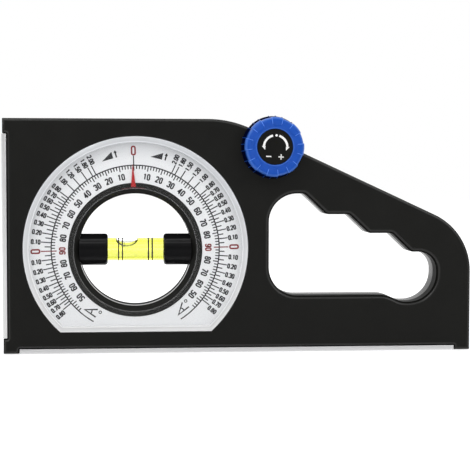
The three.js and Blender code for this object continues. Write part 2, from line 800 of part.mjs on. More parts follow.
// Idler with windows between its spokes
function idlerGear() {
  const inner = idlerHubRadius;
  const outer = idlerPitch - dedendumShare * gearModule - idlerRim;
  const windows = Array.from({ length: idlerWindowCount }, (_, i) => {
    const middle = (i * fullTurn) / idlerWindowCount;
    const half = Math.PI / idlerWindowCount;
    const [innerHalf, outerHalf] = [inner, outer].map((radius) => half - idlerSpoke / 2 / radius);
    const outline = [
      ...arcPoints(outer, middle - outerHalf, middle + outerHalf),
      ...arcPoints(inner, middle + innerHalf, middle - innerHalf),
    ];
    return plate(outline, idlerFront - overrun, idlerBack + overrun);
  });
  const disc = plate(gearOutline(idlerTeeth, idlerTooth), idlerFront, idlerBack);
  const bore = journal(idlerPinRadius + shaftGap, idlerFront - overrun, idlerBack + overrun);
  return without(disc, [bore, ...windows]);
}

// Levels along the knob's axis, from the front
const knobBase = -runningGap;
const capSeat = -knobReach + capThickness - capProud + seatGap;
const knobScrewSeat = capSeat + knobScrew.headHeight + seatGap;
const knobFloor = knobScrewSeat + knobWall / 2;
const shaftFront = knobFloor + seatGap;
const bushRadius = shaftRadius + shaftGap + bushWall;
const collarBack = gearFront - seatGap;
const collarFront = collarBack - shaftCollarThickness;
const springBack = collarFront - seatGap;
const springFront = springBack - springDish - springThickness;
const bushFlangeBack = springFront - seatGap;
const bushFlangeFront = bushFlangeBack - bushFlangeThickness;
const clipFront = gearBack + seatGap;
const clipBack = clipFront + clipThickness;
const rearBushFront = clipBack + seatGap;
const rearBushBack = rearBushFront + bushDepth;
const shaftBack = rearBushBack - seatGap;
const screwHeadFront = bodyDepth - screwHeadSink - shellScrew.headHeight;
const screwTip = bodyDepth - screwHeadSink - shellScrew.length;

// Bars that leave only the flat-sided middle of the shaft
function shaftFlats(front, back, grow) {
  const flat = shaftRadius - shaftFlat + grow;
  const reach = shaftRadius + overrun;
  return [box(-reach, reach, front, back, flat, reach), box(-reach, reach, front, back, -reach, -flat)];
}

function driveShaft() {
  const shaft = journal(shaftRadius, shaftFront, shaftBack);
  const collar = bar(shaftCollarRadius, collarFront, collarBack);
  const screwHole = bar(knobScrew.shank + seatGap, shaftFront - overrun, knobScrewSeat + knobScrew.length);
  const grooveFloor = shaftRadius - shaftGrooveDepth;
  const groove = ring(grooveFloor, shaftRadius + overrun, clipFront - seatGap, clipBack + seatGap);
  return without(shaft.add(collar), [
    screwHole,
    groove,
    ...shaftFlats(shaftFront - overrun, knobBase, 0),
    ...shaftFlats(collarBack, clipFront - 2 * seatGap, 0),
  ]);
}

// Bore that grips the shaft's two flats
function flattedBore(front, back) {
  const flats = shaftFlats(front - overrun, back + overrun, seatGap);
  return without(bar(shaftRadius + seatGap, front, back), flats);
}

function drivePinion() {
  const gear = plate(gearOutline(pinionTeeth, pinionTooth), gearFront, gearBack - seatGap);
  return gear.subtract(flattedBore(gearFront - overrun, gearBack + overrun));
}

function frontBush() {
  const outer = joined([
    bar(bushRadius, seatGap, bushFlangeBack),
    bar(bushRadius + bushFlange, bushFlangeFront, bushFlangeBack),
  ]);
  return outer.subtract(journal(shaftRadius + shaftGap, 0, bushFlangeBack + overrun));
}

function rearBush() {
  const bore = journal(shaftRadius + shaftGap, rearBushFront - overrun, rearBushBack + overrun);
  return bar(bushRadius, rearBushFront, rearBushBack).subtract(bore);
}

// Dished spring washer that drags on the shaft's collar, so the knob stays where it is set
function springWasher() {
  const inner = shaftRadius + seatGap;
  const outer = shaftCollarRadius + bushFlange / 2;
  return turned(
    [
      [inner, springFront],
      [inner, springFront + springThickness],
      [outer, springBack],
      [outer, springBack - springThickness],
    ],
    circleSteps(outer),
  );
}

// Open ring in the shaft's groove, behind the pinion
function shaftClip() {
  const inner = shaftRadius - shaftGrooveDepth + seatGap;
  const outer = inner + clipWidth;
  const reach = outer + overrun;
  const mouth = box(-clipMouth / 2, clipMouth / 2, clipFront - overrun, clipBack + overrun, 0, reach);
  return ring(inner, outer, clipFront, clipBack).subtract(mouth);
}

// Outline of the knob's grip: groups of three ribs, with smooth stretches between the groups
function knobOutline(radius, ribHeight) {
  const pad = fullTurn / knobPadCount;
  const spacing = knobRibSpacing * degree;
  const half = knobRibHalfAngle * degree;
  const points = [];
  for (let i = 0; i < knobPadCount; i += 1) {
    const middle = knobPadTurn * degree + i * pad;
    [-1, 0, 1].forEach((rib) => {
      const around = middle + rib * spacing;
      points.push([radius, around - half], [radius + ribHeight, around], [radius, around + half]);
    });
    points.push([radius, middle + pad / 2]);
  }
  return points.map(([reach, around]) => [reach * Math.cos(around), reach * Math.sin(around)]);
}

function knob() {
  const skirt = knobRadius - knobRibHeight;
  const top = skirt - knobTaper;
  const grip = lofted([
    { outline: knobOutline(capRadius + knobShoulder, 0), y: -knobReach },
    { outline: knobOutline(top - knobShoulder, 0), y: -knobReach + knobCrown },
    { outline: knobOutline(top, 0), y: -knobReach + knobShoulder },
    { outline: knobOutline(top, knobRibHeight), y: -knobReach + knobRibStart },
    { outline: knobOutline(skirt, knobRibHeight), y: knobBase },
  ]);
  const underside = ring(knobHubRadius, skirt - knobTaper - knobWall, knobFloor, overrun);
  return without(grip, [
    underside,
    bar(capRadius + seatGap, -knobReach - overrun, capSeat),
    bar(knobScrew.head + runningGap, -knobReach, knobScrewSeat),
    bar(knobScrew.shank + seatGap, -knobReach, 0),
    flattedBore(knobFloor, overrun),
  ]);
}

function knobCap() {
  return turned(
    [
      [0, -knobReach - capProud],
      [capRadius - capBevel, -knobReach - capProud],
      [capRadius, -knobReach - capProud + capBevel],
      [capRadius, capSeat - seatGap],
      [0, capSeat - seatGap],
    ],
    circleSteps(capRadius),
  );
}

const drawing = new THREE.Group();
drawing.position.set(-(bodyLength - railProud) / 2, -(bodyDepth - knobReach - capProud) / 2, railProud);

function placedGroup(x, z) {
  const group = new THREE.Group();
  group.position.set(x, 0, z);
  drawing.add(group);
  return group;
}

function addPiece(parent, name, solid, finish) {
  const { vertProperties, triVerts } = solid.getMesh();
  const geometry = new THREE.BufferGeometry();
  geometry.setAttribute("position", new THREE.Float32BufferAttribute(vertProperties, 3));
  geometry.setIndex(new THREE.BufferAttribute(triVerts, 1));
  geometry.computeVertexNormals();
  const mesh = new THREE.Mesh(geometry, new THREE.MeshStandardMaterial(finish));
  mesh.name = name;
  parent.add(mesh);
  return mesh;
}

addPiece(drawing, "front_shell", frontShell(), blackPlastic);
addPiece(drawing, "rear_shell", rearShell(), blackPlastic);

const railThickness = soleStep + railProud - seatGap;
const baseRail = addPiece(
  drawing,
  "base_rail",
  rail(railThickness, bodyLength - toeLength - heelLength - 2 * seatGap),
  aluminium,
);
baseRail.position.set(heelLength + seatGap, 0, -railProud);

const sideRail = addPiece(
  drawing,
  "side_rail",
  rail(sideStep + railProud - seatGap, bodyHeight - topLipHeight - heelHeight - 2 * seatGap),
  aluminium,
);
sideRail.rotation.y = Math.PI / 2;
sideRail.position.set(-railProud, 0, bodyHeight - topLipHeight - seatGap);

screwPlaces().forEach(([x, z], i) => {
  const mesh = addPiece(drawing, `housing_screw_${i + 1}`, screw(shellScrew), steel);
  mesh.position.set(x, bodyDepth - screwHeadSink, z);
});

addPiece(drawing, "dial_plate", dialPlate(), whitePrint);
addPiece(drawing, "dial_cover", dialCover(), clearPlastic);

const rotor = placedGroup(ringX, ringZ);
addPiece(rotor, "sight_ring", sightRing(), glossBlack);
addPiece(rotor, "ring_gear", ringGear(), blackPlastic);
ringScrewPlaces().forEach(([x, z], i) => {
  const mesh = addPiece(rotor, `ring_screw_${i + 1}`, screw(ringScrew), steel);
  mesh.position.set(x, ringBack - seatGap, z);
});
const pointerMesh = addPiece(rotor, "pointer", pointer(), redPlastic);
pointerMesh.rotation.y = -pointerTurn * degree;
addPiece(rotor, "vial_socket_right", vialSocket(), blackPlastic);
const leftSocket = addPiece(rotor, "vial_socket_left", vialSocket(), blackPlastic);
leftSocket.rotation.z = Math.PI;
leftSocket.position.y = bodyDepth;

// The vial's pieces are made along Y and laid along X
const vial = new THREE.Group();
vial.rotation.z = -Math.PI / 2;
vial.position.y = splitY;
rotor.add(vial);
addPiece(vial, "vial_tube", vialTube(), clearPlastic);
const liquidMesh = addPiece(vial, "vial_liquid", vialLiquid(), liquid);
liquidMesh.rotation.y = Math.PI / 2;
const leftPlug = addPiece(vial, "vial_plug_left", vialPlug(), whiteNylon);
leftPlug.position.y = -vialLength / 2;
const rightPlug = addPiece(vial, "vial_plug_right", vialPlug(), whiteNylon);
rightPlug.position.y = vialLength / 2 - vialPlugLength;

const idler = placedGroup(idlerX, idlerZ);
addPiece(idler, "idler_gear", idlerGear(), whiteNylon);
addPiece(idler, "idler_pin", journal(idlerPinRadius, idlerPinFront, idlerPinBack), steel);
addPiece(
  idler,
  "idler_washer",
  ring(idlerPinRadius + seatGap, idlerWasherRadius, idlerWasherFront, idlerWasherBack),
  steel,
);

const drive = placedGroup(knobX, knobZ);
addPiece(drive, "knob", knob(), bluePlastic);
addPiece(drive, "knob_cap", knobCap(), blackPlastic);
const knobScrewMesh = addPiece(drive, "knob_screw", screw(knobScrew), steel);
knobScrewMesh.rotation.z = Math.PI;
knobScrewMesh.position.y = knobScrewSeat - seatGap - knobScrew.headHeight;
addPiece(drive, "drive_shaft", driveShaft(), steel);
addPiece(drive, "drive_pinion", drivePinion(), whiteNylon);
addPiece(drive, "front_bush", frontBush(), brass);
addPiece(drive, "rear_bush", rearBush(), brass);
addPiece(drive, "spring_washer", springWasher(), steel);
addPiece(drive, "shaft_clip", shaftClip(), steel);

const inclinometer = new THREE.Group();
inclinometer.add(drawing);

export default inclinometer;
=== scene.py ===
import json
import math
import bmesh
import bpy
from mathutils import Matrix, Vector


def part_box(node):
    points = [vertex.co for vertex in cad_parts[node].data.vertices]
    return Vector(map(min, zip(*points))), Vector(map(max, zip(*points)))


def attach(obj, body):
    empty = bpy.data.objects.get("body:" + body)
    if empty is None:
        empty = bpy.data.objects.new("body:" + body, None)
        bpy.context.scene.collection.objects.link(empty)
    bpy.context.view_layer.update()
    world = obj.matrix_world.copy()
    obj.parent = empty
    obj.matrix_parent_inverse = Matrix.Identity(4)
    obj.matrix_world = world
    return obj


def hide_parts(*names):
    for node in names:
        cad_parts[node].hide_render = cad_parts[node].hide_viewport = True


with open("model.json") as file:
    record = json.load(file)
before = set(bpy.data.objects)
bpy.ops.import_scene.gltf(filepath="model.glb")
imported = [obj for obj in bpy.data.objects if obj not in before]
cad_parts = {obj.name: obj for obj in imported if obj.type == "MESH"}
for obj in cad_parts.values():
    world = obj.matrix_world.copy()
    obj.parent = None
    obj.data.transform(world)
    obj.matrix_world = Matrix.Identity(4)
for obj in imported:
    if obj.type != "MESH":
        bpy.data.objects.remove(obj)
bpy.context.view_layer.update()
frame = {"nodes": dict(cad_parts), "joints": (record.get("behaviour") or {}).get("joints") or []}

# Pieces are drawn in millimetres: X right from the housing's left edge, Y back from its front face, Z up
mm = 0.001
scene = bpy.context.scene
joints = {joint["name"]: Vector(joint["pos_m"]) for joint in frame["joints"]}
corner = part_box("front_shell")[0]
# For cuts, arcs, fits, joined points and how deep a print goes into the piece under it
hidden = {"overrun": 1.0, "fineDepth": 0.012, "leastRadius": 0.05, "gap": 0.1, "merge": 0.0005,
          "lastMerge": 0.0004, "samePoint": 1e-5, "tiny": 1e-6, "mitre": 0.5, "printSink": 0.05}
axes = {
    "housing": corner,
    "rotor": Vector((joints["rotor_turn"].x, corner.y, joints["rotor_turn"].z)),
    "knob_drive": Vector((joints["knob_turn"].x, corner.y, joints["knob_turn"].z)),
}


def drawn(node, axis="housing"):  # a CAD node's box in the drawing's millimetres
    low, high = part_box(node)
    return (low - axes[axis]) / mm, (high - axes[axis]) / mm


ringPlace = (axes["rotor"] - corner) / mm
knobPlace = (axes["knob_drive"] - corner) / mm
print("frame loaded:", len(frame["nodes"]), "nodes")


# Housing: its sizes shape the two shells, and place the wear on their plastic
housing = {
    "length": 200.4, "height": 99.35, "depth": 16.0, "sideStep": 1.85, "soleStep": 2.04, "topLip": 6.32,
    "heelLength": 6.58, "heelHeight": 6.38, "toeLength": 6.88, "crownX": 96.06, "crownRadius": 43.8,
    "noseHeight": 51.34, "noseRadius": 26.9, "edgeRound": 1.35, "wall": 2.2, "face": 2.0, "seam": 0.1,
    "lobeRadius": 11.05, "lobeBore": 8.85, "bushBore": 4.06, "seatFloor": 1.5, "guideWall": 2.6,
    "ringGap": 0.3, "roundSteps": 7,
}
halfDepth = housing["depth"] / 2
# The bubble is the part of an ellipsoid that lies inside the tube's bore, near its top
bubble = {"radii": (4.75, 2.95, 2.95), "shift": -3.6, "rise": 3.4, "segments": 48, "rings": 32}
bubblePlace = axes["rotor"] + Vector((bubble["shift"], halfDepth, bubble["rise"])) * mm


# Node materials, all on Object coordinates
def newMaterial(name, sockets):
    material = bpy.data.materials.new(name)
    material.use_nodes = True
    shader = material.node_tree.nodes["Principled BSDF"]
    for socket, value in sockets.items():
        shader.inputs[socket].default_value = value
    return material, material.node_tree, shader


def addNode(tree, kind, values=(), **settings):
    node = tree.nodes.new(kind)
    for key, value in settings.items():
        setattr(node, key, value)
    for socket, value in dict(values).items():
        node.inputs[socket].default_value = value
    return node


def objectPlace(tree, stretch=(1, 1, 1), centre=(0, 0, 0)):
    coordinates = addNode(tree, "ShaderNodeTexCoord")
    mapping = addNode(tree, "ShaderNodeMapping", {"Scale": stretch}, vector_type="POINT")
    mapping.inputs["Location"].default_value = [-c * s for c, s in zip(centre, stretch)]
    tree.links.new(coordinates.outputs["Object"], mapping.inputs["Vector"])
    return mapping.outputs["Vector"]


def noise(tree, vector, scale, detail=3.0, roughness=0.55):
    node = addNode(tree, "ShaderNodeTexNoise", {"Scale": scale, "Detail": detail, "Roughness": roughness})
    tree.links.new(vector, node.inputs["Vector"])
    return node.outputs["Fac"]


def between(tree, factor, low, high, ends=(0.0, 1.0)):  # a factor stretched to a range of values
    node = addNode(tree, "ShaderNodeMapRange")
    node.inputs["From Min"].default_value, node.inputs["From Max"].default_value = ends
    node.inputs["To Min"].default_value, node.inputs["To Max"].default_value = low, high
    tree.links.new(factor, node.inputs["Value"])
    return node.outputs["Result"]


def ramp(tree, factor, stops):  # stops are (place, value)
    node = addNode(tree, "ShaderNodeValToRGB")
    while len(node.color_ramp.elements) < len(stops):
        node.color_ramp.elements.new(0.5)
    for element, (place, value) in zip(node.color_ramp.elements, stops):
        element.position = place
        element.color = (value, value, value, 1)
    tree.links.new(factor, node.inputs["Fac"])
    return node.outputs["Color"]


def mixedColour(tree, factor, first, second):
    node = addNode(tree, "ShaderNodeMix", data_type="RGBA")
    for socket, value in ((node.inputs[6], first), (node.inputs[7], second)):
        if isinstance(value, (tuple, list)):
            socket.default_value = (*value[:3], 1)
        else:
            tree.links.new(value, socket)
    tree.links.new(factor, node.inputs[0])
    return node.outputs[2]


def shaded(colour, share):
    return tuple(channel * share for channel in colour)


def axisDistance(tree, axis):  # metres from an axis along Y
    length = addNode(tree, "ShaderNodeVectorMath", operation="LENGTH")
    tree.links.new(objectPlace(tree, stretch=(1, 0, 1), centre=axes[axis]), length.inputs[0])
    return length.outputs["Value"]


def addBump(tree, shader, height, strength, distance):
    node = addNode(tree, "ShaderNodeBump", {"Strength": strength, "Distance": distance})
    tree.links.new(height, node.inputs["Height"])
    tree.links.new(node.outputs["Normal"], shader.inputs["Normal"])


def combined(tree, operation, first, second):
    node = addNode(tree, "ShaderNodeMath", operation=operation)
    for value, socket in zip((first, second), node.inputs):
        tree.links.new(value, socket)
    return node.outputs[0]


def separated(tree, place):  # X, Y and Z of a place
    node = addNode(tree, "ShaderNodeSeparateXYZ")
    tree.links.new(place, node.inputs["Vector"])
    return node.outputs


def heightOver(tree, axis, low, high):  # 0 at the low height over an axis, 1 at the high one
    return between(tree, separated(tree, objectPlace(tree, centre=axes[axis]))["Z"], 0.0, 1.0, (low, high))


def meshMark(tree, name):  # an attribute of the mesh
    return addNode(tree, "ShaderNodeAttribute", attribute_name=name).outputs["Fac"]


glossEnds = (0.3, 0.7)  # the part of a pattern's range that the gloss follows


# The colour and the gloss follow one pattern, the bump follows the relief
def patterned(tree, shader, look, pattern, relief):
    darker, lighter = [shaded(look["colour"], 1 + side * look["spread"]) for side in (-1, 1)]
    smooth, rough = [look["roughness"] + side * look["roughSpread"] for side in (-1, 1)]
    colour = mixedColour(tree, pattern, darker, lighter)
    tree.links.new(colour, shader.inputs["Base Color"])
    tree.links.new(between(tree, pattern, smooth, rough, glossEnds), shader.inputs["Roughness"])
    addBump(tree, shader, relief, look["bump"], look["bumpDepth"])
    return colour


# Moulded plastic: a fine grain in the surface, faint clouds in the colour and in the gloss
def mouldedPlastic(name, look):
    material, tree, shader = newMaterial(name, look.get("sockets", {}))
    place = objectPlace(tree)
    grain = noise(tree, place, look["grainScale"], detail=2.0)
    colour = patterned(tree, shader, look, noise(tree, place, look["cloudScale"]), grain)
    return material, tree, shader, colour


# Drawn or turned metal: streaks along one axis
def streakedMetal(name, look):
    material, tree, shader = newMaterial(name, {"Metallic": 1.0})
    streaks = noise(tree, objectPlace(tree, stretch=look["stretch"]), look["streakScale"], detail=4.0)
    patterned(tree, shader, look, streaks, streaks)
    return material


# The housing's ramps go over its depth, from the front face (0) past the seam (0.5) to the back (1)
plasticLooks = {
    "housingBlack": {"colour": (0.0082, 0.0082, 0.0074), "spread": 0.15, "cloudScale": 90, "grainScale": 2600,
                     "roughness": 0.46, "roughSpread": 0.05, "bump": 0.22, "bumpDepth": 0.00006,
                     "shine": ((0.0, 0.09), (0.001, 0.3), (0.018, 0.3), (0.035, 0.0), (0.09, 0.0),
                               (0.12, 0.025), (0.498, 0.025), (0.502, 0.17), (0.97, 0.38), (0.99, 0.1)),
                     "smooth": ((0.0, 1.0), (0.001, 0.6), (0.018, 0.6), (0.04, 1.0), (0.498, 1.0),
                                (0.502, 0.6), (0.97, 0.6), (0.99, 1.0)),
                     # painted highlight: its colour on the front edge of the top and the slope, how far in it
                     # reaches, over which depths
                     "paintedHighlight": (0.04, 0.04, 0.038), "paintedHighlightEnds": (-3.2 * mm, -2.6 * mm),
                     "paintedHighlightDepths": ((0.0, 0), (0.004, 0), (0.014, 1), (0.07, 1), (0.09, 0))},
    "ringBlack": {"colour": (0.0118, 0.0118, 0.0108), "spread": 0.03, "cloudScale": 120, "grainScale": 1500,
                  "roughness": 0.42, "roughSpread": 0.01, "bump": 0.01, "bumpDepth": 0.00002,
                  "boreRoughness": 0.12, "boreEnds": (24.15 * mm, 24.35 * mm),
                  "sockets": {"Specular IOR Level": 0.1}},
    "gearBlack": {"colour": (0.006, 0.006, 0.006), "spread": 0.1, "cloudScale": 120, "grainScale": 1500,
                  "roughness": 0.7, "roughSpread": 0.05, "bump": 0.1, "bumpDepth": 0.00004,
                  "sockets": {"Specular IOR Level": 0.02}},
    "socketBlack": {"colour": (0.007, 0.007, 0.0075), "spread": 0.1, "cloudScale": 150, "grainScale": 1300,
                    "roughness": 0.22, "roughSpread": 0.02, "bump": 0.03, "bumpDepth": 0.00003,
                    "shine": ((0.0, 0.0), (0.06, 0.1), (0.25, 0.1), (0.3, 0.03), (0.7, 0.03), (0.76, 0.28),
                              (0.84, 0.28), (0.88, 0.0)), "shineEnds": (-6.6 * mm, 6.6 * mm)},
    "capBlack": {"colour": (0.0048, 0.0048, 0.0042), "spread": 0.12, "cloudScale": 150, "grainScale": 2200,
                 "roughness": 0.42, "roughSpread": 0.05, "bump": 0.12, "bumpDepth": 0.00004,
                 "sockets": {"Specular IOR Level": 0.1}},
    "dialWhite": {"colour": (0.8, 0.81, 0.825), "spread": 0.015, "cloudScale": 60, "grainScale": 1800,
                  "roughness": 0.45, "roughSpread": 0.04, "bump": 0.05, "bumpDepth": 0.00003,
                  "greyed": (0.6, 0.61, 0.63), "greyedEnds": (38 * mm, 46 * mm),
                  "greyedHeights": (-15 * mm, 35 * mm)},
    "pointerRed": {"colour": (0.42, 0.01, 0.012), "spread": 0.06, "cloudScale": 200, "grainScale": 1800,
                   "roughness": 0.4, "roughSpread": 0.04, "bump": 0.05, "bumpDepth": 0.00003,
                   "foot": (0.05, 0.006, 0.008), "footEnds": (26.75 * mm, 26.95 * mm),
                   "sockets": {"Specular IOR Level": 0.25}},
    "inkBlack": {"colour": (0.006, 0.006, 0.008), "spread": 0.3, "cloudScale": 900, "grainScale": 4000,
                 "roughness": 0.55, "roughSpread": 0.05, "bump": 0.08, "bumpDepth": 0.00002},
    "inkRed": {"colour": (0.2, 0.008, 0.012), "spread": 0.2, "cloudScale": 900, "grainScale": 4000,
               "roughness": 0.5, "roughSpread": 0.05, "bump": 0.08, "bumpDepth": 0.00002},
    "printWhite": {"colour": (0.87, 0.87, 0.86), "spread": 0.04, "cloudScale": 900, "grainScale": 4000,
                   "roughness": 0.5, "roughSpread": 0.05, "bump": 0.08, "bumpDepth": 0.00002},
    "gearNylon": {"colour": (0.72, 0.69, 0.6), "spread": 0.04, "cloudScale": 120, "grainScale": 1500,
                  "roughness": 0.45, "roughSpread": 0.05, "bump": 0.06, "bumpDepth": 0.00004,
                  "sockets": {"Subsurface Weight": 0.1, "Subsurface Scale": 0.001}},
    "knobBlue": {"colour": (0.006, 0.073, 0.43), "spread": 0.12, "cloudScale": 240, "grainScale": 1600,
                 "roughness": 0.34, "roughSpread": 0.05, "bump": 0.07, "bumpDepth": 0.00004,
                 # the valley colour is a painted shade, the edge colour a painted highlight
                 "valley": (0.0012, 0.003, 0.022), "edge": (0.14, 0.34, 1.0), "shine": 0.16,
                 "shineEnds": (0.5, 0.8)},
}
metalLooks = {
    "railAlong": {"colour": (0.63, 0.63, 0.635), "spread": 0.07, "stretch": (1, 60, 60), "streakScale": 55,
                  "roughness": 0.36, "roughSpread": 0.06, "bump": 0.08, "bumpDepth": 0.00003},
    "railUp": {"colour": (0.7, 0.7, 0.7), "spread": 0.07, "stretch": (60, 60, 1), "streakScale": 55,
               "roughness": 0.36, "roughSpread": 0.06, "bump": 0.08, "bumpDepth": 0.00003},
    "screwSteel": {"colour": (0.5, 0.5, 0.51), "spread": 0.1, "stretch": (1, 12, 1), "streakScale": 700,
                   "roughness": 0.3, "roughSpread": 0.06, "bump": 0.06, "bumpDepth": 0.00003},
    "bushBrass": {"colour": (0.66, 0.46, 0.18), "spread": 0.08, "stretch": (1, 14, 1), "streakScale": 600,
                  "roughness": 0.28, "roughSpread": 0.05, "bump": 0.06, "bumpDepth": 0.00003},
}


# Housing: matt on its faces, smoother on the rounded edges, dull on the front shell's sides and glossier on
# the rear's. A painted highlight lightens its front edge along the top and the slope: heights are over these
# two lines.
def wornHousing(tree, shader, colour, look):
    h = housing
    depth = separated(tree, objectPlace(tree, (0, 1 / (h["depth"] * mm), 0), axes["housing"]))["Y"]
    tree.links.new(ramp(tree, depth, look["shine"]), shader.inputs["Specular IOR Level"])
    gloss = shader.inputs["Roughness"].links[0].from_socket
    smoother = combined(tree, "MULTIPLY", gloss, ramp(tree, depth, look["smooth"]))
    tree.links.new(smoother, shader.inputs["Roughness"])
    crown = objectPlace(tree, centre=axes["housing"] + Vector((h["crownX"], 0, h["height"])) * mm)
    slope = Vector((h["height"] - h["noseHeight"], 0, h["length"] - h["crownX"])).normalized()
    heights = []
    for outward in (Vector((0, 0, 1)), slope):
        node = addNode(tree, "ShaderNodeVectorMath", operation="DOT_PRODUCT")
        node.inputs[1].default_value = outward
        tree.links.new(crown, node.inputs[0])
        heights.append(node.outputs["Value"])
    # Painted highlight: the edge colour is lightened near the top and the slope, on the front fillet's depths
    atEdge = between(tree, combined(tree, "MAXIMUM", *heights), 0.0, 1.0, look["paintedHighlightEnds"])
    paintedHighlight = combined(tree, "MULTIPLY", atEdge, ramp(tree, depth, look["paintedHighlightDepths"]))
    tree.links.new(mixedColour(tree, paintedHighlight, colour, look["paintedHighlight"]), shader.inputs["Base Color"])


# Sockets: glossy, but dull along the top where they would only mirror the backdrop
def dulledSocket(tree, shader, colour, look):
    height = heightOver(tree, "rotor", *look["shineEnds"])
    tree.links.new(ramp(tree, height, look["shine"]), shader.inputs["Specular IOR Level"])


# The sight ring is plain on its face and polished in its bore
def polishedRing(tree, shader, colour, look):
    away = axisDistance(tree, "rotor")
    gloss = between(tree, away, look["boreRoughness"], look["roughness"], look["boreEnds"])
    tree.links.new(gloss, shader.inputs["Roughness"])


# The pointer's needle is bright, its foot on the ring is dull
def dulledPointer(tree, shader, colour, look):
    foot = between(tree, axisDistance(tree, "rotor"), 1.0, 0.0, look["footEnds"])
    tree.links.new(mixedColour(tree, foot, colour, look["foot"]), shader.inputs["Base Color"])


# Dial: greyer towards its upper edge, where the cover's rim shades it
def greyedDial(tree, shader, colour, look):
    outer = between(tree, axisDistance(tree, "rotor"), 0.0, 1.0, look["greyedEnds"])
    shade = combined(tree, "MULTIPLY", outer, heightOver(tree, "rotor", *look["greyedHeights"]))
    tree.links.new(mixedColour(tree, shade, colour, look["greyed"]), shader.inputs["Base Color"])


# Knob: the mesh marks the valleys of its grip (0), a deep navy of painted shade, its pads (1) and painted
# highlights (2)
def shadedKnob(tree, shader, colour, look):
    paintedShading = meshMark(tree, "paintedShading")
    # Painted shade in the valleys, painted highlight on the pads' edges, the shoulder and round the cap
    face = mixedColour(tree, between(tree, paintedShading, 0.0, 1.0), look["valley"], colour)
    paintedHighlight = mixedColour(tree, between(tree, paintedShading, 0.0, 1.0, (1.0, 2.0)), face, look["edge"])
    tree.links.new(paintedHighlight, shader.inputs["Base Color"])
    shine = between(tree, paintedShading, 0.0, look["shine"], look["shineEnds"])
    tree.links.new(shine, shader.inputs["Specular IOR Level"])


# Clear cover: hardly seen over the dial. The bevel that the mesh's attribute marks is drawn opaque and white
# as a painted reflection, a band round the hole as a painted highlight, and the colour greys upwards as
# painted shade
coverLook = {
    "sockets": {"IOR": 1.49, "Specular IOR Level": 0.5}, "low": (1.0, 1.0, 1.0), "high": (0.8, 0.82, 0.85),
    "heights": (-40 * mm, 25 * mm), "clear": 0.009, "bevel": 0.84, "hole": 0.09,
    "holeEnds": (26.05 * mm, 26.4 * mm), "roughness": 0.09, "roughShares": (0.7, 1.3), "hazeScale": 45,
}


def coverPlastic(name, look):
    material, tree, shader = newMaterial(name, look["sockets"])
    # Painted shade: the colour greys towards the top. The bevel (a painted reflection) and the hole's edge (a
    # painted highlight) are drawn more opaque
    paintedShadeUpwards = mixedColour(tree, heightOver(tree, "rotor", *look["heights"]), look["low"], look["high"])
    bevel = between(tree, meshMark(tree, "rim"), look["clear"], look["bevel"])
    hole = between(tree, axisDistance(tree, "rotor"), look["hole"], look["clear"], look["holeEnds"])
    haze = noise(tree, objectPlace(tree), look["hazeScale"])
    smooth, rough = [look["roughness"] * share for share in look["roughShares"]]
    tree.links.new(paintedShadeUpwards, shader.inputs["Base Color"])
    tree.links.new(combined(tree, "MAXIMUM", bevel, hole), shader.inputs["Alpha"])
    tree.links.new(between(tree, haze, smooth, rough), shader.inputs["Roughness"])
    return material


# Acrylic tube and coloured liquid of the vial, both with real refraction. The liquid is tinted at its outer
# skin, and the bubble's wall stays clear.
tubeLook = {"sockets": {"Base Color": (0.99, 1.0, 0.97, 1), "IOR": 1.49, "Transmission Weight": 1.0},
            "smearScale": 160, "roughness": 0.03}
liquidLook = {"sockets": {"IOR": 1.36, "Transmission Weight": 1.0}, "smearScale": 90, "roughness": 0.02,
              "tint": (0.97, 0.985, 0.15), "clear": (1.0, 1.0, 1.0), "skinEnds": (1.02, 1.05)}


def seeThrough(name, look):
    material, tree, shader = newMaterial(name, look["sockets"])
    smear = noise(tree, objectPlace(tree), look["smearScale"])
    tree.links.new(between(tree, smear, 0.0, look["roughness"]), shader.inputs["Roughness"])
    return material


def tintedLiquid(name, look):
    material = seeThrough(name, look)
    tree = material.node_tree
    fromBubble = addNode(tree, "ShaderNodeVectorMath", operation="LENGTH")
    place = objectPlace(tree, [1 / (radius * mm) for radius in bubble["radii"]], bubblePlace)
    tree.links.new(place, fromBubble.inputs[0])
    skin = between(tree, fromBubble.outputs["Value"], 0.0, 1.0, look["skinEnds"])
    tint = mixedColour(tree, skin, look["clear"], look["tint"])
    tree.links.new(tint, tree.nodes["Principled BSDF"].inputs["Base Color"])
    return material


plasticFinishes = {"housingBlack": wornHousing, "socketBlack": dulledSocket, "ringBlack": polishedRing,
                   "pointerRed": dulledPointer, "dialWhite": greyedDial, "knobBlue": shadedKnob}
materials = {name: streakedMetal(name, look) for name, look in metalLooks.items()}
for name, look in plasticLooks.items():
    material, tree, shader, colour = mouldedPlastic(name, look)
    if name in plasticFinishes:
        plasticFinishes[name](tree, shader, colour, look)
    materials[name] = material
materials["coverClear"] = coverPlastic("coverClear", coverLook)
materials["vialAcrylic"] = seeThrough("vialAcrylic", tubeLook)
materials["vialLiquid"] = tintedLiquid("vialLiquid", liquidLook)
print("materials made:", len(materials))


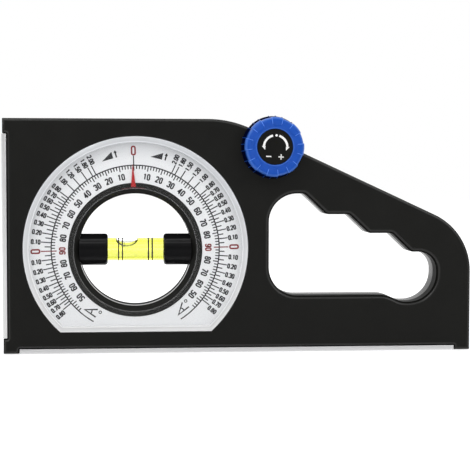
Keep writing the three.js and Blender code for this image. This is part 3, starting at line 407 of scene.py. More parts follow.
# Outlines are lists of (x, z) points
def roundedOutline(corners, grow=0.0, least=0.3):
    points = []
    for i, (x, z, radius) in enumerate(corners):
        beforeX, beforeZ = corners[i - 1][:2]
        afterX, afterZ = corners[(i + 1) % len(corners)][:2]
        entry = math.atan2(z - beforeZ, x - beforeX)
        leave = math.atan2(afterZ - z, afterX - x)
        turn = math.atan2(math.sin(leave - entry), math.cos(leave - entry))
        side = math.copysign(1, turn)
        outward = entry + turn / 2 - math.pi / 2
        shift = grow / math.cos(turn / 2)
        radius = max(radius, least)
        grown = max(radius + side * grow, hidden["leastRadius"])
        reach = grown * math.tan(abs(turn) / 2)
        centreX = x + shift * math.cos(outward) - reach * math.cos(entry) - side * grown * math.sin(entry)
        centreZ = z + shift * math.sin(outward) - reach * math.sin(entry) + side * grown * math.cos(entry)
        steps = max(3, math.ceil(abs(turn) / (2 * math.acos(1 - hidden["fineDepth"] / radius))))
        for step in range(steps + 1):
            around = entry + turn * step / steps - side * math.pi / 2
            points.append((centreX + grown * math.cos(around), centreZ + grown * math.sin(around)))
    return points


def circleSteps(radius):
    return 4 * math.ceil(math.pi / (4 * math.acos(1 - hidden["fineDepth"] / radius)))


def circleOutline(radius, x=0.0, z=0.0):
    steps = circleSteps(radius)
    turns = [2 * math.pi * step / steps for step in range(steps)]
    return [(x + radius * math.cos(turn), z + radius * math.sin(turn)) for turn in turns]


# Objects and closed meshes, still in the drawing's millimetres
def placed(name, data):
    item = bpy.data.objects.new(name, data)
    scene.collection.objects.link(item)
    return item


def newMesh(name, vertices, faces=(), attributes=()):
    mesh = bpy.data.meshes.new(name)
    mesh.from_pydata(vertices, [], faces)
    for label, values in dict(attributes).items():
        mesh.attributes.new(label, "FLOAT", "POINT").data.foreach_set("value", values)
    return placed(name, mesh)


def facedOutwards(solid, merge=0.0):  # merge joins points that are closer together
    work = bmesh.new()
    work.from_mesh(solid.data)
    if merge:
        bmesh.ops.remove_doubles(work, verts=work.verts, dist=merge)
    bmesh.ops.recalc_face_normals(work, faces=work.faces)
    work.to_mesh(solid.data)
    work.free()
    return solid


def newSolid(name, vertices, faces, attributes=()):
    return facedOutwards(newMesh(name, vertices, faces, attributes), hidden["merge"])


def lofted(name, levels, rims=()):  # levels are (outline, y), each with as many points; rims mark them
    count = len(levels[0][0])
    vertices = [(x, y, z) for outline, y in levels for x, z in outline]
    faces = [tuple(range(count)), tuple(range(len(vertices) - 1, len(vertices) - count - 1, -1))]
    for level in range(len(levels) - 1):
        low = level * count
        for i in range(count):
            after = (i + 1) % count
            faces.append((low + i, low + count + i, low + count + after, low + after))
    attributes = {"rim": [value for value in rims for _ in range(count)]} if rims else {}
    return newSolid(name, vertices, faces, attributes)


def plate(name, outline, front, back):
    return lofted(name, [(outline, front), (outline, back)])


def bar(name, radius, front, back, x=0.0, z=0.0):
    return plate(name, circleOutline(radius, x, z), front, back)


# Turned around Y from a closed profile of (radius, y)
def turned(name, profile, x=0.0, z=0.0, steps=None):
    steps = steps or circleSteps(max(radius for radius, y in profile))
    vertices = []
    for step in range(steps):
        turn = 2 * math.pi * step / steps
        vertices += [(x + radius * math.cos(turn), y, z + radius * math.sin(turn)) for radius, y in profile]
    faces = []
    count = len(profile)
    for step in range(steps):
        low, high = step * count, (step + 1) % steps * count
        for i in range(count):
            after = (i + 1) % count
            if profile[i][0] > 0 or profile[after][0] > 0:
                faces.append((low + i, low + after, high + after, high + i))
    return newSolid(name, vertices, faces)


def bend(start, middle, end, steps=5):  # a curve that leaves and meets the sides of a corner
    shares = [step / steps for step in range(steps + 1)]
    return [start * (1 - t) ** 2 + middle * 2 * t * (1 - t) + end * t ** 2 for t in shares]


# Profile corners rounded: (radius, y, rounding) corners give (radius, y) points
def roundedProfile(corners):
    points = []
    for i, (x, y, rounding) in enumerate(corners):
        if rounding == 0:
            points.append((x, y))
            continue
        here = Vector((x, y))
        before = Vector(corners[i - 1][:2]) - here
        after = Vector(corners[(i + 1) % len(corners)][:2]) - here
        curve = bend(here + before.normalized() * rounding, here, here + after.normalized() * rounding)
        points += [(max(point.x, 0), point.y) for point in curve]
    return points


def carved(solid, cutters, operation="DIFFERENCE"):
    for cutter in cutters:
        modifier = solid.modifiers.new("carve", "BOOLEAN")
        modifier.solver = "MANIFOLD"
        modifier.operation = operation
        modifier.object = cutter
    result = converted(solid)
    for cutter in cutters:
        bpy.data.objects.remove(cutter)
    return result


# The evaluated object as a plain mesh, in place of the object's own
def converted(solid):
    bpy.context.view_layer.update()
    evaluated = solid.evaluated_get(bpy.context.evaluated_depsgraph_get())
    mesh = bpy.data.meshes.new_from_object(evaluated)
    solid.modifiers.clear()
    solid.data = mesh
    return solid


def finished(solid, name, material, body, nodes=(), sharp=32):
    solid.data.transform(Matrix.Translation(axes[body]) @ Matrix.Scale(mm, 4))
    work = bmesh.new()
    work.from_mesh(solid.data)
    bmesh.ops.remove_doubles(work, verts=work.verts, dist=hidden["lastMerge"] * mm)
    bmesh.ops.dissolve_degenerate(work, edges=work.edges, dist=hidden["lastMerge"] * mm)
    work.to_mesh(solid.data)
    work.free()
    solid.data.shade_smooth()
    solid.data.set_sharp_from_angle(angle=math.radians(sharp))
    weighted = solid.modifiers.new("normals", "WEIGHTED_NORMAL")
    weighted.keep_sharp = True
    converted(solid)
    solid.name = solid.data.name = name
    solid.data.materials.clear()
    solid.data.materials.append(materials[material])
    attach(solid, body)
    if nodes:
        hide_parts(*nodes)
    return solid


# Geometry Nodes
def newTree(name, inputs):
    tree = bpy.data.node_groups.new(name, "GeometryNodeTree")
    tree.interface.new_socket("Geometry", in_out="INPUT", socket_type="NodeSocketGeometry")
    for label, kind in inputs.items():
        tree.interface.new_socket(label, in_out="INPUT", socket_type=kind)
    tree.interface.new_socket("Geometry", in_out="OUTPUT", socket_type="NodeSocketGeometry")
    return tree, tree.nodes.new("NodeGroupInput"), tree.nodes.new("NodeGroupOutput")


def joinNodes(tree, *pairs):
    for source, target in pairs:
        tree.links.new(source, target)


def grown(solid, tree, values):  # runs a tree on the object and keeps the result as its mesh
    modifier = solid.modifiers.new("grow", "NODES")
    modifier.node_group = tree
    for item in tree.interface.items_tree:
        if item.in_out == "INPUT" and item.name in values:
            modifier[item.identifier] = values[item.name]
    return converted(solid)


def endTree(tree, geometry, start, finish):
    real = tree.nodes.new("GeometryNodeRealizeInstances")
    paint = tree.nodes.new("GeometryNodeSetMaterial")
    joinNodes(tree, (geometry, real.inputs["Geometry"]), (real.outputs["Geometry"], paint.inputs["Geometry"]),
              (start.outputs["Material"], paint.inputs["Material"]),
              (paint.outputs["Geometry"], finish.inputs["Geometry"]))


# Scale marks: a thin bar at every point, turned and as long as the point's attributes say
def marksTree():
    tree, start, finish = newTree("scaleMarks", {"Width": "NodeSocketFloat", "Thickness": "NodeSocketFloat",
                                                 "Material": "NodeSocketMaterial"})
    cube = addNode(tree, "GeometryNodeMeshCube", {"Size": (1, 1, 1)})
    spread = tree.nodes.new("GeometryNodeInstanceOnPoints")
    turn, reach = [addNode(tree, "GeometryNodeInputNamedAttribute", {"Name": label}, data_type="FLOAT")
                   for label in ("turn", "reach")]
    angle, size = [tree.nodes.new("ShaderNodeCombineXYZ") for _ in range(2)]
    joinNodes(tree, (turn.outputs["Attribute"], angle.inputs["Y"]),
              (reach.outputs["Attribute"], size.inputs["Z"]), (start.outputs["Width"], size.inputs["X"]),
              (start.outputs["Thickness"], size.inputs["Y"]),
              (start.outputs["Geometry"], spread.inputs["Points"]),
              (cube.outputs["Mesh"], spread.inputs["Instance"]),
              (angle.outputs["Vector"], spread.inputs["Rotation"]),
              (size.outputs["Vector"], spread.inputs["Scale"]))
    endTree(tree, spread.outputs["Instances"], start, finish)
    return tree


# Round row: copies of the input turned around Y by even steps, with their shared edges merged
def roundRowTree():
    tree, start, finish = newTree("roundRow", {"Count": "NodeSocketInt", "Step": "NodeSocketFloat",
                                               "Merge": "NodeSocketFloat", "Material": "NodeSocketMaterial"})
    points = tree.nodes.new("GeometryNodePoints")
    index = tree.nodes.new("GeometryNodeInputIndex")
    turn = addNode(tree, "ShaderNodeMath", operation="MULTIPLY")
    angle = tree.nodes.new("ShaderNodeCombineXYZ")
    spread = tree.nodes.new("GeometryNodeInstanceOnPoints")
    real = tree.nodes.new("GeometryNodeRealizeInstances")
    merge = tree.nodes.new("GeometryNodeMergeByDistance")
    joinNodes(tree, (start.outputs["Count"], points.inputs["Count"]),
              (index.outputs["Index"], turn.inputs[0]),
              (start.outputs["Step"], turn.inputs[1]), (turn.outputs[0], angle.inputs["Y"]),
              (points.outputs["Points"], spread.inputs["Points"]),
              (start.outputs["Geometry"], spread.inputs["Instance"]),
              (angle.outputs["Vector"], spread.inputs["Rotation"]),
              (spread.outputs["Instances"], real.inputs["Geometry"]),
              (real.outputs["Geometry"], merge.inputs["Geometry"]),
              (start.outputs["Merge"], merge.inputs["Distance"]))
    endTree(tree, merge.outputs["Geometry"], start, finish)
    return tree


# Placed copies: one object repeated at every point
def copiesTree():
    tree, start, finish = newTree("placedCopies", {"Piece": "NodeSocketObject",
                                                   "Material": "NodeSocketMaterial"})
    info = tree.nodes.new("GeometryNodeObjectInfo")
    spread = tree.nodes.new("GeometryNodeInstanceOnPoints")
    joinNodes(tree, (start.outputs["Piece"], info.inputs["Object"]),
              (start.outputs["Geometry"], spread.inputs["Points"]),
              (info.outputs["Geometry"], spread.inputs["Instance"]))
    endTree(tree, spread.outputs["Instances"], start, finish)
    return tree


trees = {"marks": marksTree(), "roundRow": roundRowTree(), "copies": copiesTree()}


def copiesAt(name, piece, places, material):
    cloud = grown(newMesh(name, places), trees["copies"], {"Piece": piece, "Material": materials[material]})
    bpy.data.objects.remove(piece)
    return cloud


def joinedPieces(pieces):
    first, rest = pieces[0], pieces[1:]
    work = bmesh.new()
    for piece in pieces:
        work.from_mesh(piece.data)
    work.to_mesh(first.data)
    work.free()
    for piece in rest:
        bpy.data.objects.remove(piece)
    return first


# Shells: the stepped grip, the recess for the dial, and the screws that hold them together
handle = {
    "left": 112.62, "right": 185.6, "floor": 23.9, "top": 67.7, "cornerRadius": 12.2, "heelRadius": 12.2,
    "noseRadius": 8.0, "dip": 3.0, "fingerRadius": 2.4, "rimRound": 1.7, "backRound": 0.4, "topShare": 0.21,
    "fingerShares": ((0.339, 0.475, 0.797), (0.593, 0.73, 0.611), (0.847, 1.0, 0.425)),
    "dipShares": (0.788, 0.7),
}
dialPlace = {
    "x": ringPlace.x + 0.3, "z": ringPlace.z + 0.55, "radius": 47.61, "flat": 35.3, "recess": 2.5, "fit": 0.1,
    "edgeRound": 0.25, "edgeShare": 0.3,
}
screws = {
    "count": 7, "shank": 1.25, "head": 2.7, "headHeight": 1.6, "length": 10.5, "sink": 0.5, "bore": 3.0,
    "slot": 0.62, "postWall": 1.2,
}
quarterTurns = [math.pi / 2 * step / housing["roundSteps"] for step in range(housing["roundSteps"] + 1)]


def bodyCorners():
    h = housing
    lip = h["height"] - h["topLip"]
    return [(0, 0, 0), (h["heelLength"], 0, 0), (h["heelLength"], h["soleStep"], 0),
            (h["length"] - h["toeLength"], h["soleStep"], 0), (h["length"] - h["toeLength"], 0, 0),
            (h["length"], 0, 0), (h["length"], h["noseHeight"], h["noseRadius"]),
            (h["crownX"], h["height"], h["crownRadius"]), (0, h["height"], 0), (0, lip, 0),
            (h["sideStep"], lip, 0), (h["sideStep"], h["heelHeight"], 0), (0, h["heelHeight"], 0)]


def cavityCorners():
    h = housing
    return [(h["sideStep"], h["soleStep"], 0), (h["length"], h["soleStep"], 0),
            (h["length"], h["noseHeight"], h["noseRadius"]), (h["crownX"], h["height"], h["crownRadius"]),
            (h["sideStep"], h["height"], 0)]


def handleCorners():
    g = handle
    length, height = g["right"] - g["left"], g["top"] - g["floor"]
    near, far = g["dipShares"]
    corners = [(g["left"], g["floor"], g["cornerRadius"]),
               (g["left"] + far * length, g["floor"], g["heelRadius"]),
               (g["left"] + near * length, g["floor"] - g["dip"], g["noseRadius"]),
               (g["right"], g["floor"] - g["dip"], g["heelRadius"])]
    for start, end, rise in reversed(g["fingerShares"]):
        level = g["floor"] + rise * height
        radius = g["noseRadius"] if end == 1 else g["fingerRadius"]
        corners += [(g["left"] + end * length, level, radius),
                    (g["left"] + start * length, level, g["fingerRadius"])]
    return corners + [(g["left"] + g["topShare"] * length, g["top"], g["fingerRadius"]),
                      (g["left"], g["top"], g["cornerRadius"])]


def dialOutline(grow=0.0):
    radius, flat = dialPlace["radius"] + grow, dialPlace["flat"] + grow
    half = math.acos(flat / radius)
    steps = circleSteps(dialPlace["radius"])
    turns = [-math.pi / 2 + half + (2 * math.pi - 2 * half) * step / steps for step in range(steps + 1)]
    return [(dialPlace["x"] + radius * math.cos(turn), dialPlace["z"] + radius * math.sin(turn))
            for turn in turns]


def screwPlaces():
    boxes = [drawn(f"housing_screw_{i + 1}") for i in range(screws["count"])]
    return [((low.x + high.x) / 2, (low.z + high.z) / 2) for low, high in boxes]


# Levels of a rounded edge, from the face inwards. Side -1 grows them to the outline, 1 shrinks them to it.
def roundedLevels(corners, rounding, face, inwards, side):
    return [(roundedOutline(corners, side * rounding * (1 - math.sin(t))),
             face + inwards * rounding * (1 - math.cos(t))) for t in quarterTurns]


def shell(isFront):
    h, s, over = housing, screws, hidden["overrun"]
    face, inwards = (0.0, 1) if isFront else (h["depth"], -1)
    seam = halfDepth - inwards * h["seam"] / 2
    past = seam + inwards * over
    levels = roundedLevels(bodyCorners(), h["edgeRound"], face, inwards, -1)
    skin = lofted("skin", levels + [(levels[-1][0], seam)])
    profile = [(h["lobeRadius"] + h["edgeRound"] * (math.sin(t) - 1), y)
               for t, (outline, y) in zip(quarterTurns, levels)]
    profile = [(0, face), *profile, (h["lobeRadius"], seam), (0, seam)]
    body = carved(skin, [turned("lobe", profile, knobPlace.x, knobPlace.z)], "UNION")

    low, high = sorted((face + inwards * h["face"], past))
    cavity = plate("cavity", roundedOutline(cavityCorners(), -h["wall"]), low, high)
    well = bar("well", h["lobeBore"], low, high, knobPlace.x, knobPlace.z)
    gripWall = plate("wall", roundedOutline(handleCorners(), h["wall"]), low - over, high + over)
    cavity = carved(carved(cavity, [well], "UNION"), [gripWall])
    levels = roundedLevels(handleCorners(), handle["rimRound" if isFront else "backRound"], face, inwards, 1)
    opening = lofted("opening", [(levels[0][0], face - inwards * over), *levels, (levels[-1][0], past)])
    body = carved(body, [cavity, opening])

    low, high = sorted((face + inwards * h["face"] / 2, seam))
    adds, cuts = [], []
    if isFront:
        fit, edge, share = dialPlace["fit"], dialPlace["edgeRound"], dialPlace["edgeShare"]
        recess = ((fit + edge, -over), (fit + edge, 0.0), (fit + edge * share, edge * share), (fit, edge),
                  (fit, dialPlace["recess"]))
        adds.append(plate("dialSeat", dialOutline(h["wall"]), low, dialPlace["recess"] + h["seatFloor"]))
        cuts.append(lofted("dialRecess", [(dialOutline(grow), y) for grow, y in recess]))
        cuts.append(bar("bushBore", h["bushBore"], -over, halfDepth + over, knobPlace.x, knobPlace.z))
    else:
        for x, z in screwPlaces():
            adds.append(bar("post", s["bore"] + s["postWall"], low, high, x, z))
            cuts.append(bar("shankHole", s["shank"] + hidden["gap"], low - over, h["depth"], x, z))
    passage = drawn("sight_ring", "rotor")[1].x + h["ringGap"]
    adds.append(bar("guide", passage + h["guideWall"], low, high, ringPlace.x, ringPlace.z))
    cuts.append(bar("passage", passage, -over, h["depth"] + over, ringPlace.x, ringPlace.z))
    return carved(carved(body, adds, "UNION"), cuts)


for isFront, node in ((True, "front_shell"), (False, "rear_shell")):
    name = node.replace("_", "") + "Moulded"
    finished(shell(isFront), name, "housingBlack", "housing", [node])
print("shells made")


# Rails: extruded bars with softened edges, their T-foot held by the shells
rails = {
    "inset": 0.4, "edge": 0.6, "softness": 0.35, "endSoft": 0.15, "neck": 3.0, "head": 6.4, "headHeight": 1.4,
    "wallGap": 2.4, "leastRound": 0.02, "thickness": {"base_rail": 2.21, "side_rail": 2.02},
}


def railOutline(thickness):  # across the rail: first axis depth, second axis from the outer face inwards
    r = rails
    front, back = r["inset"], housing["depth"] - r["inset"]
    neckTop = thickness + r["wallGap"]
    foot = [(r["neck"], thickness), (r["neck"], neckTop), (r["head"], neckTop),
            (r["head"], neckTop + r["headHeight"])]
    corners = [(front, 0, r["edge"]), (back, 0, r["edge"]), (back, thickness, r["softness"])]
    corners += [(halfDepth + width / 2, height, 0) for width, height in foot]
    corners += [(halfDepth - width / 2, height, 0) for width, height in reversed(foot)]
    return corners + [(front, thickness, r["softness"])]


def rail(name, node, isLevel, material):
    low, high = drawn(node)
    start, end = (low.x, high.x) if isLevel else (low.z, high.z)
    soft = rails["endSoft"]
    outline = railOutline(rails["thickness"][node])
    ends = ((-soft, start), (0.0, start + soft), (0.0, end - soft), (-soft, end))
    bars = lofted(name, [(roundedOutline(outline, grow, rails["leastRound"]), place) for grow, place in ends])
    for vertex in bars.data.vertices:
        depth, along, inward = vertex.co
        vertex.co = (along, depth, low.z + inward) if isLevel else (low.x + inward, depth, along)
    return finished(facedOutwards(bars), name, material, "housing", [node], sharp=40)


rail("baseRailDrawn", "base_rail", True, "railAlong")
rail("sideRailDrawn", "side_rail", False, "railUp")
print("rails made")


# Screws: one turned and cross-slotted screw, copied to every place. Its sizes are shares of the head's.
screwHead = {"flat": 0.5, "shoulder": 0.85, "crown": 0.22, "shoulderDrop": 0.45, "rimDrop": 1.6, "arm": 0.68,
             "slotDepth": 0.65, "slotFoot": 0.45}
ringScrews = {"count": 4, "shank": 0.8, "head": 1.3, "headHeight": 0.9, "length": 9.5, "slot": 0.42,
              "radius": 26.075, "turn": 45, "back": 15.6, "seatDepth": 1.1}


def crossScrew(size):
    share, head, height, shank = screwHead, size["head"], size["headHeight"], size["shank"]
    crown = height * share["crown"]
    profile = [(0, 0), (head * share["flat"], 0), (head * share["shoulder"], -crown * share["shoulderDrop"]),
               (head, -crown * share["rimDrop"]), (head, -height), (shank, -height),
               (shank, -size["length"] + shank), (0, -size["length"])]
    arm, half = head * share["arm"], size["slot"] / 2
    tapers = ((1.0, hidden["overrun"]), (1.0, 0.0), (share["slotFoot"], -height * share["slotDepth"]))
    cuts = []
    for isWide in (True, False):
        levels = []
        for taper, y in tapers:
            x, z = (arm * taper, half) if isWide else (half, arm * taper)
            levels.append(([(-x, -z), (x, -z), (x, z), (-x, z)], y))
        cuts.append(lofted("slot", levels))
    return carved(turned("screw", profile), cuts)


def screwSet(name, size, seats, body, node):
    copies = copiesAt(name, crossScrew(size), seats, "screwSteel")
    nodes = [f"{node}_{i + 1}" for i in range(size["count"])]
    return finished(copies, name, "screwSteel", body, nodes)


ringSeats = []
for i in range(ringScrews["count"]):
    turn = math.radians(ringScrews["turn"]) + 2 * math.pi * i / ringScrews["count"]
    ringSeats.append((ringScrews["radius"] * math.cos(turn), ringScrews["back"],
                      ringScrews["radius"] * math.sin(turn)))
housingSeats = [(x, housing["depth"] - screws["sink"], z) for x, z in screwPlaces()]
screwSet("housingScrews", screws, housingSeats, "housing", "housing_screw")
screwSet("ringScrews", ringScrews, ringSeats, "rotor", "ring_screw")
print("screws made")


# Dial plate and its clear cover
# Levels of the cover's edge are (growth of the outline, y, mark). The mark says how opaque and white it is
# drawn:
# the bevel as a painted reflection, and a fine painted highlight line along its inner edge.
cover = {
    "thickness": 1.8, "proud": 0.9, "skirt": 1.7, "lap": 2.2,
    "levels": ((-2.95, -0.9, 0.0), (-2.55, -0.9, 0.35), (-2.4, -0.85, 1.0), (-1.9, -0.78, 0.75),
               (-0.55, -0.396, 0.8), (-0.15, -0.235, 1.0), (0.0, 0.05, 1.0), (0.0, 2.4, 1.0)),
}
ring = {"bore": 23.95, "outer": 28.2, "lip": 2.0, "front": 1.7, "back": 15.7, "split": 8.0, "splitGap": 0.05,
        "passage": 28.5, "splitSoft": 0.1, "edgeSoft": 0.25, "lipSoft": 0.3, "backSoft": 0.6}
dial = {"front": 1.9, "thickness": 0.5, "holeDepth": 4.0, "ink": 0.03, "markSink": 0.01}


def dialPlate():
    outline = dialOutline(-cover["skirt"] - hidden["gap"])
    disc = plate("disc", outline, dial["front"], dial["front"] + dial["thickness"])
    hole = bar("hole", ring["passage"], 0.0, dial["holeDepth"], ringPlace.x, ringPlace.z)
    return finished(carved(disc, [hole]), "dialPlate", "dialWhite", "housing", ["dial_plate"])


def dialCover():
    c, over, recess = cover, hidden["overrun"], dialPlace["recess"]
    outlines = [(dialOutline(grow), y) for grow, y, mark in c["levels"]]
    disc = lofted("cover", outlines, [mark for grow, y, mark in c["levels"]])
    inside = plate("inside", dialOutline(-c["skirt"]), c["thickness"] - c["proud"], recess + over)
    hole = bar("hole", ring["outer"] - c["lap"], -c["proud"] - over, recess, ringPlace.x, ringPlace.z)
    disc = carved(disc, [inside, hole])
    return finished(disc, "dialCover", "coverClear", "housing", ["dial_cover"])


dialPlate()
dialCover()
print("dial plate and cover made")


# Print on the dial: angles inside the scale's circle, slopes outside it
angleScale = {
    "left": 0.2, "drop": 0.22, "turn": -1.2, "radius": 35.6, "arcEnd": 148.6, "lineWidth": 0.5,
    "tickWidth": 0.46, "tickStep": 2, "tickEnd": 136, "short": 1.6, "long": 2.3, "labelStep": 10,
    "labelEnd": 130, "labelRadius": 30.95, "labelHeight": 2.6, "stroke": 0.59,
}
scaleCentre = (dialPlace["x"] - angleScale["left"], dialPlace["z"] - angleScale["drop"])
# Radii differ on the left (-1) and right (1), and at the zeros' turns. Nudges move single labels, in degrees.
slopeScale = {
    "labels": (2.0, 1.8, 1.5, 1.2, 1.0, 0.8, 0.7, 0.6, 0.5, 0.4, 0.3, 0.2, 0.1), "lowerLimit": 0.8,
    "step": 0.05, "stepCount": 16, "long": 3.9, "short": 2.3, "leftExtra": 0.45,
    "labelRadii": {-1: 42.2, 1: 41.75}, "labelHeight": 1.95, "stroke": 0.53,
    "zeroHeight": 4.1, "zeroRadii": {-90: 42.2, 0: 41.8, 90: 41.95},
    "zeroStroke": 0.68, "topTick": 4.0, "upperShift": 0.12, "lowerShift": 0.45,
    "nudges": {2.0: 1.35, 1.8: -0.5, 1.5: -0.5, 1.2: 0.3, 0.8: 0.7, -0.8: -0.9},
}

# A numeral fits a box that is 1 high and 0.5 wide. Its strokes are (closed, ((x, y, rounding), ...)).
high, wide = 0.86, 0.36
numeralShares = {
    "0": ((True, ((0, 0, 0.18), (wide, 0, 0.18), (wide, high, 0.18), (0, high, 0.18))),),
    "1": ((False, ((0.06, 0.7, 0), (0.22, high, 0.05), (0.22, 0, 0))),),
    "2": ((False, ((0, 0.66, 0), (0, high, 0.17), (wide, high, 0.17), (wide, 0.5, 0.12), (0, 0.05, 0.03),
                   (0, 0, 0.01), (wide + 0.03, 0, 0))),),
    "3": ((False, ((0, 0.7, 0), (0, high, 0.15), (wide, high, 0.16), (wide, 0.46, 0.14), (0.12, 0.46, 0))),
          (False, ((0.12, 0.46, 0), (wide, 0.46, 0.14), (wide, 0, 0.16), (0, 0, 0.15), (0, 0.16, 0)))),
    "4": ((False, ((0.27, -0.07, 0), (0.27, high, 0.01), (-0.03, 0.22, 0.01), (wide + 0.08, 0.22, 0))),),
    "5": ((False, ((wide, high, 0), (0.02, high, 0.01), (0, 0.5, 0.03), (wide, 0.52, 0.15), (wide, 0, 0.17),
                   (0, 0, 0.15), (0, 0.16, 0))),),
    "6": ((False, ((wide, 0.7, 0), (wide, high, 0.16), (0, high, 0.17), (0, 0.16, 0.1), (0, 0, 0.16),
                   (wide, 0, 0.17), (wide, 0.5, 0.17), (0, 0.5, 0.12), (0, 0.2, 0))),),
    "7": ((False, ((-0.03, high, 0), (wide, high, 0.02), (wide, 0.72, 0.05), (0.12, -0.07, 0))),),
    "8": ((True, ((0, 0, 0.17), (wide, 0, 0.17), (wide, 0.46, 0.15), (0, 0.46, 0.15))),
          (True, ((0.02, 0.46, 0.14), (wide - 0.02, 0.46, 0.14), (wide - 0.02, high, 0.16),
                  (0.02, high, 0.16)))),
    "9": ((False, ((0, 0.16, 0), (0, 0, 0.16), (wide, 0, 0.17), (wide, 0.7, 0.1), (wide, high, 0.16),
                   (0, high, 0.17), (0, 0.36, 0.17), (wide, 0.36, 0.12), (wide, 0.6, 0))),),
    ".": ((False, ((0.0, -0.07, 0), (0.0, 0.08, 0))),),
}
advances = {"number": 0.62, ".": 0.24, "between": 0.12, "side": 0.07}


def softened(points, closed):  # corners of (x, y, rounding) as a smooth run of points
    count = len(points)
    run = []
    for i, (x, y, rounding) in enumerate(points):
        here = Vector((x, y))
        if rounding == 0 or (not closed and i in (0, count - 1)):
            run.append(here)
            continue
        before = Vector(points[i - 1][:2]) - here
        after = Vector(points[(i + 1) % count][:2]) - here
        run += bend(here + before.normalized() * min(rounding, before.length / 2), here,
                    here + after.normalized() * min(rounding, after.length / 2))
    return [p for i, p in enumerate(run)
            if (p - run[i - 1]).length > hidden["samePoint"] or (i == 0 and not closed)]


# Strokes become thin closed bands. Each sheet of print collects its bands and is made one mesh.
class Print:
    def __init__(self, surface, thickness):
        self.vertices, self.faces = [], []
        self.front, self.back = surface - thickness, surface + hidden["printSink"]

    def band(self, points, closed, width):
        count = len(points)
        base = len(self.vertices)
        for i, point in enumerate(points):
            before = point - points[i - 1] if closed or i > 0 else points[1] - point
            after = points[(i + 1) % count] - point if closed or i < count - 1 else point - points[i - 1]
            before, after = before.normalized(), after.normalized()
            along = (before + after).normalized() if (before + after).length > hidden["tiny"] else after
            across = Vector((-along.y, along.x)) * width / 2 / max(along.dot(after), hidden["mitre"])
            for side in (point + across, point - across):
                self.vertices += [(side.x, self.front, side.y), (side.x, self.back, side.y)]
        for i in range(count if closed else count - 1):
            a, b = base + i * 4, base + (i + 1) % count * 4
            self.faces += [(a, b, b + 2, a + 2), (a + 1, a + 3, b + 3, b + 1), (a, a + 1, b + 1, b),
                           (a + 2, b + 2, b + 3, a + 3)]
        if not closed:
            end = base + (count - 1) * 4
            self.faces += [(base, base + 2, base + 3, base + 1), (end, end + 1, end + 3, end + 2)]

    def area(self, points):  # a filled outline
        base, count = len(self.vertices), len(points)
        self.vertices += [(p.x, y, p.y) for y in (self.front, self.back) for p in points]
        self.faces += [tuple(range(base, base + count)),
                       tuple(range(base + 2 * count - 1, base + count - 1, -1))]
        self.faces += [(base + i, base + (i + 1) % count, base + count + (i + 1) % count, base + count + i)
                       for i in range(count)]


def scalePoint(turn, radius, centre=scaleCentre, extra=angleScale["turn"]):  # degrees clockwise from the top
    angle = math.radians(turn + extra)
    return Vector((centre[0] + radius * math.sin(angle), centre[1] + radius * math.cos(angle)))


def directions(heading):  # along a line of reading, and upward from it
    across = Vector((math.cos(heading), math.sin(heading)))
    return across, Vector((-across.y, across.x))


def writeNumber(sheet, text, place, heading, height, stroke):  # heading: direction of reading, in radians
    widths = [advances.get(sign, advances["number"]) for sign in text]
    across, upward = directions(heading)
    pen = -(sum(widths) - advances["between"]) / 2 + advances["side"]
    for sign, width in zip(text, widths):
        for closed, shares in numeralShares[sign]:
            run = [place + across * (pen + p.x) * height + upward * (p.y - high / 2) * height
                   for p in softened(shares, closed)]
            sheet.band(run, closed, stroke)
        pen += width


def writeArc(sheet, radius, start, end, width, centre=scaleCentre, extra=angleScale["turn"], step=1.5):
    steps = max(2, math.ceil(abs(end - start) / step))
    run = [scalePoint(start + (end - start) * i / steps, radius, centre, extra) for i in range(steps + 1)]
    sheet.band(run, False, width)


def slopeTurn(slope):  # where a slope's mark stands, in degrees from the top
    return 90 - math.degrees(math.atan(slope))


def printScales(dark, red):
    a, s = angleScale, slopeScale
    writeArc(dark, a["radius"], -a["arcEnd"], a["arcEnd"], a["lineWidth"])
    for side in (-1, 1):
        for turn in range(a["labelStep"], a["labelEnd"] + 1, a["labelStep"]):
            place = scalePoint(side * turn, a["labelRadius"])
            heading = -math.radians(side * turn + a["turn"])
            sheet = red if turn == 90 else dark
            writeNumber(sheet, str(min(turn, 180 - turn)), place, heading, a["labelHeight"], a["stroke"])
        for slope in s["labels"] + tuple(-value for value in s["labels"] if value <= s["lowerLimit"]):
            shift = (s["upperShift"] if slope > 0 else s["lowerShift"]) - s["nudges"].get(slope, 0)
            turn = side * (slopeTurn(slope) + shift)
            heading = math.radians(90 - turn - a["turn"]) + (0 if side > 0 else math.pi)
            writeNumber(dark, f"{abs(slope):.2f}", scalePoint(turn, s["labelRadii"][side]), heading,
                        s["labelHeight"], s["stroke"])
    for turn, radius in s["zeroRadii"].items():
        writeNumber(red, "0", scalePoint(turn, radius), -math.radians(turn + a["turn"]), s["zeroHeight"],
                    s["zeroStroke"])


# Two plain signs: a climbing wedge with an arrow beside the slope scale, and an open angle with a small ring
# beside the angle scale. Shares are of half the sign's length or height, and of the stroke.
signs = {
    "stroke": 0.62, "slopeTurn": 15.0, "slopeRadius": 41.0, "slopeSize": (6.4, 2.9), "wedgeShare": 0.55,
    "tipHalf": 0.75, "tipLength": 0.9, "tipOver": 0.2, "angleTurn": 143.5, "angleRadius": 31.8,
    "angleSize": (5.6, 3.2), "legShare": 0.6, "arcShare": 0.55, "arcStroke": 0.8, "arcSteps": 6,
    "ringRadius": 0.55, "ringAway": 0.4, "ringHeight": 0.75, "ringStroke": 0.6, "ringSteps": 14,
}


def signPlacer(turn, radius):
    centre = scalePoint(turn, radius)
    heading = -math.radians(turn + angleScale["turn"])
    across, upward = directions(heading + math.pi if abs(turn) > 90 else heading)
    return lambda x, y: centre + across * x + upward * y


